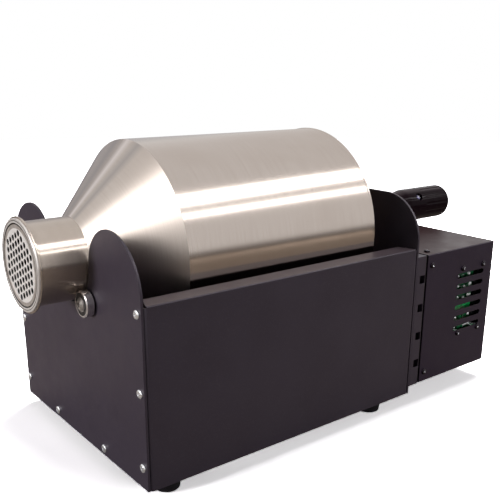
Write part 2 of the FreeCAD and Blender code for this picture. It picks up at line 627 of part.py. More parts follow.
def make_panel(label, turned):
    """Upright sheet with a lip folded inwards at the top and flanges at both ends."""
    body = new_body(label, x="dims.base_length" if turned else "0")
    if turned:
        body.Placement = FreeCAD.Placement(FreeCAD.Vector(), FreeCAD.Rotation(180, 0, 0))
        body.setExpression("Placement.Base.x", "dims.centre_shift + dims.base_length")
    left = "dims.plate_thickness"
    right = "dims.right_inside"
    face = "-dims.half_depth"
    skin = "dims.sheet_thickness"
    bend = "dims.fold_radius"

    def plan(profile):
        profile.outline(
            (left, f"{face} + dims.end_flange"),
            (left, f"{face} + {bend}", "across", f"{left} + {bend}", 1),
            (f"{left} + {bend}", face),
            (f"{right} - {bend}", face, "across", f"{right} - {bend}", 1),
            (right, f"{face} + {bend}"),
            (right, f"{face} + dims.end_flange"),
            (f"{right} - {skin}", f"{face} + dims.end_flange"),
            (f"{right} - {skin}", f"{face} + {skin}"),
            (f"{left} + {skin}", f"{face} + {skin}"),
            (f"{left} + {skin}", f"{face} + dims.end_flange"))
    add_slab(body, "z", "dims.base_z", f"dims.panel_height - {skin}", plan)

    def lip(profile):
        profile.outline(
            (f"{left} + {bend}", face),
            (f"{right} - {bend}", face),
            (f"{right} - {bend}", f"{face} + {bend}"),
            (f"{right} - dims.lip_corner", f"{face} + dims.lip_depth"),
            (f"{left} + dims.lip_corner", f"{face} + dims.lip_depth"),
            (f"{left} + {bend}", f"{face} + {bend}"))
    add_slab(body, "z", f"dims.panel_top - {skin}", skin, lip)
    heights = {"left": ("screw_low", "screw_middle", "screw_high"),
               "right": ("screw_low", "screw_middle", "right_screw_high")}
    ends = (("left", left), ("right", f"{right} - {skin}"))
    for side, place in ends:
        pattern = {"left": "right", "right": "left"}[side] if turned else side

        def drill(profile, rises=heights[pattern]):
            for rise in rises:
                profile.circle(f"{face} + dims.screw_edge", f"dims.base_z + dims.{rise}",
                               "dims.screw_hole")
        cut_slab(body, "x", place, skin, drill)
    front = -number("dims.half_depth")
    top = number("dims.panel_top")
    round_edges(body, f"{skin} * 0.95",
                lambda points: all(abs(p.z - top) < 0.01 and abs(p.y - front) < 0.01
                                   for p in points))


def make_floor():
    """Flat floor with an upright flange at each end."""
    body = new_body("floor_plate")
    inner = "(dims.half_depth - dims.sheet_thickness)"
    flange = "(dims.half_depth - dims.end_flange - dims.sheet_thickness)"

    def flat(profile):
        profile.rectangle("dims.plate_thickness + dims.sheet_thickness", f"-{inner}",
                          "dims.right_inside - dims.sheet_thickness", inner)
        for x, y in foot_spots():
            profile.circle(x, y, "dims.screw_hole")
    add_slab(body, "z", "dims.base_z", "dims.sheet_thickness", flat)

    def upright(profile, side):
        profile.rectangle(f"-{flange}", "dims.base_z", flange, "dims.base_z + dims.floor_flange")
        for y, z in panel_screw_spots(side)[-2:]:
            profile.circle(y, z, "dims.screw_hole")
    add_slab(body, "x", "dims.plate_thickness", "dims.sheet_thickness",
             lambda profile: upright(profile, "left"))
    add_slab(body, "x", "dims.right_inside - dims.sheet_thickness", "dims.sheet_thickness",
             lambda profile: upright(profile, "right"))


def make_screw(label, radius, length, head_radius, head_height):
    """Pan-head screw, head upwards, its seat at height 0."""
    body = new_body(label, kept=False)
    revolve(body, "z",
            ("0", f"-({length})"),
            (radius, f"-({length})"),
            (radius, "0"),
            (head_radius, "0"),
            (head_radius, f"{head_height} * 0.35",
             "up", f"{head_height} * 0.35 - {head_radius} * 0.35", 1),
            (f"{head_radius} * 0.45", f"{head_height}"),
            ("0", f"{head_height}"))
    return body


def foot_spots():
    for x in ("dims.left_foot_inset", "dims.base_length - dims.right_foot_inset"):
        for side in ("", "-"):
            yield x, f"{side}(dims.half_depth - dims.foot_inset)"


def make_base_screws():
    screw = make_screw("base_screw", "dims.screw_radius", "dims.screw_length",
                       "dims.screw_head_radius", "dims.screw_head_height")
    spots = [("0", y, z, "left") for y, z in panel_screw_spots("left")]
    spots += [("dims.base_length", y, z, "right") for y, z in panel_screw_spots("right")]
    spots += [(x, y, "dims.foot_height - dims.foot_web", "down") for x, y in foot_spots()]
    copies("base_screws", screw, spots)


def make_feet():
    body = new_body("rubber_foot", kept=False)
    low_radius = "(dims.foot_radius - dims.foot_taper)"
    revolve(body, "z",
            ("dims.screw_hole", "dims.foot_height - dims.foot_web"),
            ("dims.foot_bore", "dims.foot_height - dims.foot_web"),
            ("dims.foot_bore", "0"),
            (f"{low_radius} - dims.foot_round", "0", "across",
             f"{low_radius} - dims.foot_round", 1),
            (low_radius, "dims.foot_round"),
            ("dims.foot_radius", "dims.foot_height"),
            ("dims.screw_hole", "dims.foot_height"))
    copies("rubber_feet", body, [(x, y, "0", "up") for x, y in foot_spots()])


# ---------------------------------------------------------------- heaters

def make_reflector():
    """Bent bright sheet under the drum, hung between the two panels."""
    body = new_body("heat_reflector")
    skin = "dims.reflector_thickness"
    wall = "(dims.half_depth - dims.sheet_thickness)"
    flat = "dims.reflector_half_floor"
    low = "(dims.base_z + dims.reflector_rise)"
    high = "(dims.base_z + dims.reflector_shoulder)"
    top = f"({high} + dims.reflector_flange)"

    def draw(profile):
        profile.outline(
            (f"-{flat}", low), (flat, low), (wall, high), (wall, top),
            (f"{wall} - {skin}", top), (f"{wall} - {skin}", f"{high} + {skin}"),
            (f"{flat} - {skin} / 2", f"{low} + {skin}"),
            (f"{skin} / 2 - {flat}", f"{low} + {skin}"),
            (f"{skin} - {wall}", f"{high} + {skin}"), (f"{skin} - {wall}", top),
            (f"-{wall}", top), (f"-{wall}", high))
    add_slab(body, "x", "dims.plate_thickness + dims.sheet_thickness + dims.reflector_end_gap",
             "dims.right_inside - dims.plate_thickness"
             " - 2 * (dims.sheet_thickness + dims.reflector_end_gap)", draw)


def make_heaters():
    """Two quartz tubes, each held at both ends in a ceramic end and a bracket."""
    tubes = new_body("heater_tubes", z="dims.tube_z")
    length = "(dims.base_length - 2 * dims.tube_inset)"

    def draw(profile):
        for side in ("", "-"):
            profile.circle(f"{side}dims.tube_spread", "0", "dims.tube_radius")
    add_slab(tubes, "x", "dims.tube_inset", length, draw)

    caps = new_body("heater_ceramic_ends", z="dims.tube_z")

    def cap(profile):
        for side in ("", "-"):
            profile.circle(f"{side}dims.tube_spread", "0", "dims.tube_cap_radius")

    def bore(profile):
        for side in ("", "-"):
            profile.circle(f"{side}dims.tube_spread", "0", "dims.tube_radius + dims.seat_play")
    behind = "(dims.tube_cap_length - 4)"
    ends = (("dims.tube_inset - 4", "dims.tube_inset"),
            (f"dims.base_length - dims.tube_inset - {behind}",
             f"dims.base_length - dims.tube_inset - {behind}"))
    for outer, seat in ends:
        add_slab(caps, "x", outer, "dims.tube_cap_length", cap)
        cut_slab(caps, "x", seat, behind, bore)


def make_heater_brackets():
    """Upright plates that carry the ceramic ends, screwed to the reflector's floor."""
    body = new_body("heater_brackets")
    skin = "dims.sheet_thickness"
    low = "(dims.base_z + dims.reflector_rise + dims.reflector_thickness)"
    high = "(dims.tube_z + dims.tube_cap_radius + 3)"

    def upright(profile):
        profile.rectangle("-dims.bracket_half_width", low, "dims.bracket_half_width", high)
        for side in ("", "-"):
            profile.circle(f"{side}dims.tube_spread", "dims.tube_z",
                           "dims.tube_cap_radius + dims.seat_play")

    def foot(profile, left, right):
        profile.rectangle(left, "-dims.bracket_half_width", right, "dims.bracket_half_width")
    left_x = "dims.bracket_inset + dims.plate_thickness"
    right_x = f"dims.right_inside - dims.bracket_inset - {skin}"
    for place in (left_x, right_x):
        add_slab(body, "x", place, skin, upright)
    add_slab(body, "z", low, skin,
             lambda profile: foot(profile, left_x, f"{left_x} + dims.bracket_foot"))
    add_slab(body, "z", low, skin,
             lambda profile: foot(profile, f"{right_x} + {skin} - dims.bracket_foot",
                                  f"{right_x} + {skin}"))


def make_thermal_cutout():
    """Disc thermostat under the reflector."""
    body = new_body("thermal_cutout", x="dims.base_length / 2")
    top = "(dims.base_z + dims.reflector_rise)"
    revolve(body, "z",
            ("0", f"{top} - dims.cutout_height"),
            ("dims.cutout_radius", f"{top} - dims.cutout_height"),
            ("dims.cutout_radius", f"{top} - 1"),
            ("dims.cutout_radius + 3", f"{top} - 1"),
            ("dims.cutout_radius + 3", top),
            ("0", top))


# ---------------------------------------------------------------- support rollers

def make_roller_rings(label, side):
    """Outer ring and seals of one ball bearing: the part that the neck turns."""
    y = f"{side}dims.roller_y"
    face = "-(dims.roller_stand_off + dims.roller_width)"
    back = "-dims.roller_stand_off"
    rim = "dims.roller_radius"
    inside = "(dims.roller_radius - dims.roller_ring_wall)"
    core = "(dims.roller_bore + dims.roller_core_wall)"
    edge = "dims.ring_chamfer"
    ring = new_body(f"{label}_bearing_ring", y=y, z="dims.roller_z")
    revolve(ring, "x",
            (face, inside), (back, inside), (back, f"{rim} - {edge}"),
            (f"{back} - {edge}", rim), (f"{face} + {edge}", rim), (face, f"{rim} - {edge}"))
    seal = new_body(f"{label}_bearing_seal", y=y, z="dims.roller_z")
    revolve(seal, "x",
            (f"{face} + dims.seal_recess", f"{core} + dims.seal_gap"),
            (f"{back} - dims.seal_recess", f"{core} + dims.seal_gap"),
            (f"{back} - dims.seal_recess", inside),
            (f"{face} + dims.seal_recess", inside))


def make_roller_axles():
    """Inner rings, spacers, bolts and nuts, which stay with the end plate."""
    face = "-(dims.roller_stand_off + dims.roller_width)"
    spots = [("0", f"{side}dims.roller_y", "dims.roller_z", "up") for side in ("-", "")]
    core = new_body("bearing_core", kept=False)
    revolve(core, "x",
            (face, "dims.roller_bore + dims.seat_play"),
            ("-dims.roller_stand_off", "dims.roller_bore + dims.seat_play"),
            ("-dims.roller_stand_off", "dims.roller_bore + dims.roller_core_wall"),
            (face, "dims.roller_bore + dims.roller_core_wall"))
    copies("support_bearing_cores", core, spots)
    spacer = new_body("bearing_spacer", kept=False)
    revolve(spacer, "x",
            ("-dims.roller_stand_off", "dims.roller_bore + dims.seat_play"),
            ("0", "dims.roller_bore + dims.seat_play"),
            ("0", "dims.roller_bore + dims.roller_core_wall"),
            ("-dims.roller_stand_off", "dims.roller_bore + dims.roller_core_wall"))
    copies("support_bearing_spacers", spacer, spots)
    bolt = new_body("axle_bolt", kept=False)
    head = f"{face} - dims.roller_head_height"
    thread_end = "dims.plate_thickness + dims.axle_nut_height + dims.axle_thread_end"
    revolve(bolt, "x",
            (head, "0"),
            (thread_end, "0"), (thread_end, "dims.axle_thread_radius"),
            ("0", "dims.axle_thread_radius"), ("0", "dims.roller_bore"),
            (face, "dims.roller_bore"),
            (face, "dims.roller_head_radius"),
            (f"{face} - dims.roller_head_height * 0.3", "dims.roller_head_radius"),
            (head, "dims.roller_head_radius * 0.62"))

    def socket(profile):
        hexagon(profile, "dims.socket_radius")
    cut_slab(bolt, "x", head, "1.4", socket)
    copies("support_axle_bolts", bolt, spots)
    nut = new_body("axle_nut", kept=False)

    def nut_outline(profile):
        hexagon(profile, "dims.axle_nut_radius")
        profile.circle("0", "0", "dims.axle_thread_radius + dims.seat_play")
    add_slab(nut, "x", "dims.plate_thickness", "dims.axle_nut_height", nut_outline)
    copies("support_axle_nuts", nut, spots)


def hexagon(profile, radius):
    """A hexagon round the sketch's origin, a corner at each side."""
    half = f"{radius} / 2"
    rise = f"{radius} * sqrt(3) / 2"
    profile.outline((f"-{half}", f"-{rise}"), (half, f"-{rise}"), (radius, "0"),
                    (half, rise), (f"-{half}", rise), (f"-{radius}", "0"))


# ---------------------------------------------------------------- drum

def make_drum_shell():
    """Cylinder, cone and neck, welded end to end."""
    cylinder = new_body("drum_cylinder", z="dims.axis_z")
    start = "dims.cone_start"
    seam = "dims.cone_end"
    bead = "dims.drum_end - dims.bead_width"
    revolve(cylinder, "x",
            (seam, "dims.drum_inside"), ("dims.drum_end", "dims.drum_inside"),
            ("dims.drum_end", "dims.drum_radius",
             "up", "dims.drum_radius - dims.bead_depth", 1),
            (bead, "dims.drum_radius"), (seam, "dims.drum_radius"))
    cone = new_body("drum_cone", z="dims.axis_z")
    revolve(cone, "x",
            (start, "dims.neck_radius - dims.cone_wall"),
            (seam, "dims.drum_radius - dims.cone_wall"),
            (seam, "dims.drum_radius"), (start, "dims.neck_radius"))
    neck = new_body("drum_neck", z="dims.axis_z")
    inside = "dims.neck_radius - dims.drum_wall"
    rim = "dims.neck_end + dims.flange_thickness"
    revolve(neck, "x",
            ("dims.neck_end", inside), (start, inside), (start, "dims.neck_radius"),
            (rim, "dims.neck_radius"), (rim, "dims.flange_radius"),
            ("dims.neck_end", "dims.flange_radius"))


def make_drum_end_disc():
    """Flanged disc pressed into the right end of the cylinder."""
    body = new_body("drum_end_disc", z="dims.axis_z")
    face = "dims.disc_face"
    inner = f"{face} - dims.drum_wall"
    rim = "dims.drum_inside - dims.seat_play"
    bore = "dims.shaft_radius + dims.seat_play"
    revolve(body, "x",
            (inner, bore), (face, bore), (face, f"{rim} - dims.drum_wall"),
            (f"{inner} + dims.end_flange_length", f"{rim} - dims.drum_wall"),
            (f"{inner} + dims.end_flange_length", rim), (inner, rim))


def make_mixing_vanes():
    """Bent strips along the inside of the cylinder that lift and turn the beans."""
    body = new_body("mixing_vanes", z="dims.axis_z")
    tip = "dims.drum_inside - dims.vane_height"
    root = "dims.drum_inside - dims.seat_play"

    def draw(profile):
        profile.outline(
            ("0", tip), ("dims.vane_lip", tip), ("dims.vane_lip", f"{tip} + dims.drum_wall"),
            ("dims.drum_wall", f"{tip} + dims.drum_wall"), ("dims.drum_wall", root), ("0", root))
    strip = add_slab(body, "x", "dims.cone_end + dims.vane_gap",
                     "dims.disc_face - dims.drum_wall - dims.cone_end - 2 * dims.vane_gap",
                     draw)
    polar(body, strip, "dims.vane_count")


def make_drum_shaft():
    body = new_body("drum_shaft", z="dims.axis_z")
    start = "dims.disc_face - dims.shaft_inside"
    end = "dims.grip_start + dims.grip_bore_depth"
    revolve(body, "x", (start, "0"), (end, "0"), (end, "dims.shaft_radius - 1"),
            (f"{end} - 1", "dims.shaft_radius"), (f"{start} + 1", "dims.shaft_radius"),
            (start, "dims.shaft_radius - 1"))


def make_shaft_hub():
    """Flanged hub between the end disc and the gear."""
    body = new_body("shaft_hub", z="dims.axis_z")
    bore = "dims.shaft_radius + dims.seat_play"
    revolve(body, "x",
            ("dims.disc_face", bore), ("dims.gear_left", bore),
            ("dims.gear_left", "dims.hub_boss_radius"),
            ("dims.disc_face + dims.hub_flange", "dims.hub_boss_radius"),
            ("dims.disc_face + dims.hub_flange", "dims.hub_radius"),
            ("dims.disc_face", "dims.hub_radius"))
    hole = cut_slab(body, "x", "dims.disc_face", "dims.hub_flange",
                    lambda profile: profile.circle("dims.hub_screw_circle", "0",
                                                   "dims.small_hole"))
    polar(body, hole, "dims.hub_screw_count")


def make_hub_screws():
    body = new_body("hub_screws", z="dims.axis_z")
    seat = "dims.disc_face + dims.hub_flange"

    def ring(radius):
        return lambda profile: profile.circle("dims.hub_screw_circle", "0", radius)
    shank = add_slab(body, "x", "dims.disc_face", "dims.hub_flange",
                     ring("dims.small_screw_radius"))
    head = add_slab(body, "x", seat, "dims.small_head_height", ring("dims.small_head_radius"))
    pattern = polar(body, shank, "dims.hub_screw_count")
    pattern.Originals = [shank, head]


def tooth_gap(teeth, offset):
    """Corners (angle, radius) of one half of a tooth gap, from its root to its tip.

    The flanks are involutes; offset widens the gap along the pitch circle.
    """
    module = number("dims.gear_module")
    slope = math.radians(number("dims.pressure_angle"))
    pitch = module * teeth / 2
    base = pitch * math.cos(slope)
    root = pitch - 1.25 * module
    tip = pitch + module
    half_gap = math.pi / (2 * teeth) + offset / (2 * pitch)
    at_pitch = math.tan(slope) - slope
    corners = []
    low = max(base, root)
    for step in range(3):
        radius = low + (tip - low) * step / 2
        roll = math.acos(min(1, base / radius))
        corners.append((half_gap - at_pitch + math.tan(roll) - roll, radius))
    if root < base:
        corners.insert(0, (corners[0][0], root))
    return corners


def gear_shape(teeth, width, bore, phase):
    """Spur gear about X from X = 0, with a tooth gap straight down when phase is 0."""
    half_gap = tooth_gap(teeth, number("dims.tooth_backlash") / 2)
    step = 2 * math.pi / teeth
    points = []
    for tooth in range(teeth):
        middle = -math.pi / 2 + (tooth + phase) * step
        flank = [(middle - angle, radius) for angle, radius in reversed(half_gap)]
        flank += [(middle + angle, radius) for angle, radius in half_gap]
        points += [FreeCAD.Vector(0, radius * math.cos(angle), radius * math.sin(angle))
                   for angle, radius in flank]
    face = Part.Face(Part.makePolygon(points + points[:1]))
    blank = face.extrude(FreeCAD.Vector(width, 0, 0))
    axis = FreeCAD.Vector(1, 0, 0)
    return blank.cut(Part.makeCylinder(bore, width, FreeCAD.Vector(), axis))


def place_feature(label, shape, x, y, z):
    feature = doc.addObject("Part::Feature", label)
    feature.Label = label
    feature.Shape = shape
    feature.setExpression("Placement.Base.x", f"dims.centre_shift + {x}")
    feature.setExpression("Placement.Base.y", y)
    feature.setExpression("Placement.Base.z", z)
    sub_parts.append(feature)
    return feature


def make_drum_gear():
    """Toothed wheel with a boss on each side and round windows."""
    width = number("dims.gear_width")
    bore = number("dims.shaft_radius + dims.seat_play")
    axis = FreeCAD.Vector(1, 0, 0)
    wheel = gear_shape(round(number("dims.drum_gear_teeth")), width, bore, 0)
    reach = number("dims.bearing_left - dims.gear_left")
    boss = Part.makeCylinder(number("dims.gear_boss_radius"), reach, FreeCAD.Vector(), axis)
    boss = boss.cut(Part.makeCylinder(bore, reach, FreeCAD.Vector(), axis))
    wheel = wheel.fuse(boss)
    count = round(number("dims.gear_window_count"))
    for place in range(count):
        turn = 2 * math.pi * place / count
        circle = number("dims.gear_window_circle")
        centre = FreeCAD.Vector(0, circle * math.cos(turn), circle * math.sin(turn))
        wheel = wheel.cut(Part.makeCylinder(number("dims.gear_window_radius"), width, centre, axis))
    place_feature("drum_gear", wheel.removeSplitter(), "dims.gear_left", "0", "dims.axis_z")


def make_shaft_bearing():
    """Ball bearing in a grooved collar that drops into the slot of the end plate."""
    left = "dims.collar_left"
    right = "(dims.collar_left + dims.collar_width)"
    seat = "dims.bearing_radius + dims.seat_play"
    groove_left = "dims.right_inside - dims.slot_play"
    groove_right = "dims.base_length + dims.slot_play"
    collar = new_body("bearing_collar", z="dims.axis_z")
    revolve(collar, "x",
            (left, f"{seat} - dims.collar_lip"), ("dims.bearing_left", f"{seat} - dims.collar_lip"),
            ("dims.bearing_left", seat), (right, seat), (right, "dims.collar_radius"),
            (groove_right, "dims.collar_radius"), (groove_right, "dims.collar_groove_radius"),
            (groove_left, "dims.collar_groove_radius"), (groove_left, "dims.collar_radius"),
            (left, "dims.collar_radius"))
    bearing_right = "(dims.bearing_left + dims.bearing_width)"
    inside = "dims.bearing_radius - dims.bearing_ring_wall"
    core = "dims.shaft_radius + dims.bearing_core_wall"
    ring = new_body("shaft_bearing_outer_ring", z="dims.axis_z")
    revolve(ring, "x",
            ("dims.bearing_left", inside), (bearing_right, inside),
            (bearing_right, "dims.bearing_radius"), ("dims.bearing_left", "dims.bearing_radius"))
    seal = new_body("shaft_bearing_seal", z="dims.axis_z")
    revolve(seal, "x",
            ("dims.bearing_left + dims.seal_recess", f"{core} + dims.seal_gap"),
            (f"{bearing_right} - dims.seal_recess", f"{core} + dims.seal_gap"),
            (f"{bearing_right} - dims.seal_recess", inside),
            ("dims.bearing_left + dims.seal_recess", inside))
    inner = new_body("shaft_bearing_inner_ring", z="dims.axis_z")
    bore = "dims.shaft_radius + dims.seat_play"
    revolve(inner, "x",
            ("dims.bearing_left", bore), (bearing_right, bore),
            (bearing_right, core), ("dims.bearing_left", core))
    stop = new_body("shaft_stop_collar", z="dims.axis_z")
    stop_right = f"{bearing_right} + dims.stop_collar_width"
    revolve(stop, "x",
            (bearing_right, bore), (stop_right, bore), (stop_right, "dims.stop_collar_radius"),
            (f"{bearing_right} + dims.side_play + 1", "dims.stop_collar_radius"),
            (f"{bearing_right} + dims.side_play + 1", core), (bearing_right, core))


# ---------------------------------------------------------------- mouth

def make_mouth_cap():
    """Pull-off cap with a sunk inner ring and a spigot that slides into the neck."""
    body = new_body("mouth_cap", z="dims.axis_z")
    front = "-dims.mouth_reach"
    spigot = "dims.neck_radius - dims.drum_wall - dims.cap_play"
    inner = f"{spigot} - dims.drum_wall"
    end = "dims.neck_end + dims.cap_spigot"
    revolve(body, "x",
            (f"{front} + dims.cap_sink", "dims.cap_window"), ("dims.neck_end", "dims.cap_window"),
            ("dims.neck_end", inner), (end, inner), (end, spigot), ("dims.neck_end", spigot),
            ("dims.neck_end", "dims.cap_radius"), (front, "dims.cap_radius"),
            (front, "dims.cap_step"), (f"{front} + dims.cap_sink", "dims.cap_step"))


def make_mouth_mesh():
    """Perforated disc that lies on the cap's sunk ring, its holes in rows on a skew grid."""
    radius = number("dims.cap_step - dims.mesh_edge_gap")
    pitch = number("dims.mesh_pitch")
    field = number("dims.mesh_field")
    hole = number("dims.mesh_hole_radius")
    turn = math.radians(number("dims.mesh_turn"))
    axis = FreeCAD.Vector(1, 0, 0)
    wires = [Part.Wire(Part.makeCircle(radius, FreeCAD.Vector(), axis))]
    rows = math.ceil(field / pitch) + 1
    for row in range(-rows, rows + 1):
        for column in range(-2 * rows, 2 * rows + 1):
            along = (column + row / 2) * pitch
            across = row * pitch * math.sqrt(3) / 2
            if math.hypot(along, across) + hole > field:
                continue
            y = along * math.cos(turn) - across * math.sin(turn)
            z = along * math.sin(turn) + across * math.cos(turn)
            wires.append(Part.Wire(Part.makeCircle(hole, FreeCAD.Vector(0, y, z), axis)))
    disc = Part.Face(wires)
    disc.validate()
    plate = disc.extrude(FreeCAD.Vector(number("dims.mesh_thickness"), 0, 0))
    place_feature("mouth_mesh", plate, "dims.cap_sink - dims.mouth_reach - dims.mesh_thickness",
                  "0", "dims.axis_z")


# ---------------------------------------------------------------- handle

def turned_body(label, x):
    """A body whose own +Z points at the handle screw, out of the drum axis."""
    body = new_body(label)
    turn = FreeCAD.Rotation(FreeCAD.Vector(1, 0, 0), 90 - number("dims.grip_screw_turn"))
    body.Placement = FreeCAD.Placement(FreeCAD.Vector(), turn)
    body.setExpression("Placement.Base.x", f"dims.centre_shift + {x}")
    body.setExpression("Placement.Base.z", "dims.axis_z")
    return body


def make_handle_grip():
    """Moulded handle: a taper, a fluted body, a rounded end and a sunk screw."""
    body = turned_body("handle_grip", "0")
    bore = "dims.shaft_radius + dims.seat_play"
    bored = "dims.grip_start + dims.grip_bore_depth"
    revolve(body, "x",
            ("dims.grip_start", bore), (bored, bore), (bored, "0"), ("dims.handle_end", "0"),
            ("dims.handle_end", "dims.grip_radius - dims.grip_round",
             "up", "dims.grip_radius - dims.grip_round", 1),
            ("dims.handle_end - dims.grip_round", "dims.grip_radius"),
            ("dims.grip_full", "dims.grip_radius"),
            ("dims.grip_start + dims.grip_collar", "dims.grip_neck_radius"),
            ("dims.grip_start", "dims.grip_neck_radius"))
    cut_slab(body, "z", "dims.grip_recess_floor", "dims.grip_radius - dims.grip_recess_floor + 1",
             lambda profile: profile.circle("dims.grip_screw_x", "0", "dims.grip_recess_radius"))
    cut_slab(body, "z", "0", "dims.grip_recess_floor",
             lambda profile: profile.circle("dims.grip_screw_x", "0", "dims.small_hole"))
    flute = cut_slab(body, "x", "dims.grip_full + dims.flute_start",
                     "dims.grip_body - dims.flute_start - dims.grip_round",
                     lambda profile: profile.circle(
                         "0", "dims.grip_radius - dims.flute_depth + dims.flute_radius",
                         "dims.flute_radius"))
    polar(body, flute, "dims.flute_count")


def make_handle_screw():
    """The screw that clamps the handle on the shaft."""
    body = turned_body("handle_screw", "dims.grip_screw_x")
    seat = "dims.grip_recess_floor"
    tip = "dims.shaft_radius + dims.seat_play"
    revolve(body, "z",
            ("0", tip), ("dims.small_screw_radius", tip), ("dims.small_screw_radius", seat),
            ("dims.grip_screw_radius", seat),
            ("dims.grip_screw_radius", f"{seat} + 1"),
            ("dims.grip_screw_radius * 0.6", f"{seat} + 2"),
            ("0", f"{seat} + 2"))
    for wide, tall in (("2.4", "0.4"), ("0.4", "2.4")):
        cut_slab(body, "z", f"{seat} + 1", "1",
                 lambda profile, w=wide, t=tall: profile.rectangle(f"-{w}", f"-{t}", w, t))


# ---------------------------------------------------------------- motor

def make_motor_pinion():
    width = number("dims.gear_width + 2 * dims.pinion_overhang")
    bore = number("dims.motor_shaft_radius + dims.seat_play")
    shape = gear_shape(round(number("dims.pinion_teeth")), width, bore, 0.5)
    place_feature("motor_pinion", shape, "dims.gear_left - dims.pinion_overhang", "0",
                  "dims.motor_z")


def make_motor_shaft():
    body = new_body("motor_shaft", z="dims.motor_z")
    start = "dims.gear_left - dims.pinion_overhang - 0.5"
    add_slab(body, "x", start, f"dims.gearbox_left + dims.shaft_in_gearbox - ({start})",
             lambda profile: profile.circle("0", "0", "dims.motor_shaft_radius"))


def make_motor_shaft_bush():
    body = new_body("motor_shaft_bush", z="dims.motor_z")
    bore = "dims.motor_shaft_radius + dims.running_play"
    flange = "dims.right_inside - dims.bush_flange"
    end = "dims.base_length + 2"
    revolve(body, "x",
            (flange, bore), (end, bore), (end, "dims.bush_radius"),
            ("dims.right_inside", "dims.bush_radius"),
            ("dims.right_inside", "dims.bush_flange_radius"),
            (flange, "dims.bush_flange_radius"))


def make_gearbox():
    """Round gearbox with two lugs, its output shaft out of the middle."""
    body = new_body("gearbox", z="dims.gearbox_z")
    add_slab(body, "x", "dims.gearbox_left", "dims.gearbox_length",
             lambda profile: profile.circle("0", "0", "dims.gearbox_radius"))
    for side in ("", "-"):
        def lug(profile, y=f"{side}dims.ear_spread"):
            profile.circle(y, "0", "dims.ear_radius_small")
        add_slab(body, "x", "dims.gearbox_left", "dims.ear_thickness",
                 lambda profile: profile.rectangle("-dims.ear_spread", "-dims.ear_radius_small",
                                                   "dims.ear_spread", "dims.ear_radius_small"))
        add_slab(body, "x", "dims.gearbox_left", "dims.ear_thickness", lug)

    def holes(profile):
        for side in ("", "-"):
            profile.circle(f"{side}dims.ear_spread", "0", "dims.small_hole")
    cut_slab(body, "x", "dims.gearbox_left", "dims.ear_thickness", holes)
    cut_slab(body, "x", "dims.gearbox_left", "dims.shaft_in_gearbox",
             lambda profile: profile.circle("0", "dims.gearbox_drop",
                                            "dims.motor_shaft_radius + dims.running_play"))


def make_motor_can():
    body = new_body("motor_can", z="dims.gearbox_z")
    add_slab(body, "x", "dims.gearbox_left + dims.gearbox_length", "dims.motor_length",
             lambda profile: profile.circle("0", "0", "dims.motor_radius"))
    add_slab(body, "x", "dims.gearbox_left + dims.gearbox_length + dims.motor_length", "3",
             lambda profile: profile.circle("0", "0", "6"))


# ---------------------------------------------------------------- control box

def make_spacer_frame():
    """Slotted frame with inward flanges, between the end plate and the control box."""
    body = new_body("spacer_frame")
    skin = "dims.sheet_thickness"

    def ring(profile, inset):
        profile.rectangle("-dims.half_depth", "dims.box_z", "dims.half_depth", "dims.box_top")
        profile.rectangle(f"{inset} - dims.half_depth", f"dims.box_z + {inset}",
                          f"dims.half_depth - {inset}", f"dims.box_top - {inset}")
    add_slab(body, "x", "dims.base_length", "dims.spacer_width",
             lambda profile: ring(profile, skin))

    def flange(profile):
        ring(profile, "dims.spacer_flange")
        for y, z in box_bolt_spots():
            profile.circle(y, z, "dims.screw_hole")
    add_slab(body, "x", f"dims.box_left - {skin}", skin, flange)

    def left_flange(profile):
        flange(profile)
        for y, z in panel_screw_spots("right")[:-2]:
            profile.circle(y, z, "dims.screw_head_radius + dims.head_room")
    add_slab(body, "x", "dims.base_length", skin, left_flange)

    def floor_notches(profile):
        for y, z in panel_screw_spots("right")[-2:]:
            around(profile, y, z, "dims.screw_head_radius + dims.head_room",
                   "dims.screw_head_radius + dims.head_room")
    cut_slab(body, "x", "dims.base_length", skin, floor_notches)

    def slot(profile):
        profile.rectangle(
            "dims.base_length + dims.spacer_slot_place - dims.spacer_slot_width / 2",
            "dims.spacer_slot_z - dims.spacer_slot_height / 2",
            "dims.base_length + dims.spacer_slot_place + dims.spacer_slot_width / 2",
            "dims.spacer_slot_z + dims.spacer_slot_height / 2")
    for place in ("-dims.half_depth", f"dims.half_depth - {skin}"):
        cut = cut_slab(body, "y", place, skin, slot)
        upwards(body, cut, "dims.spacer_slot_count", "dims.spacer_slot_pitch")


def front_screw_spots():
    """(x, z) of the cover screws on its front and back."""
    x = "dims.cover_left + dims.cover_screw_inset"
    for z in ("dims.box_z + dims.cover_screw_margin", "dims.box_top - dims.cover_screw_margin"):
        yield x, z


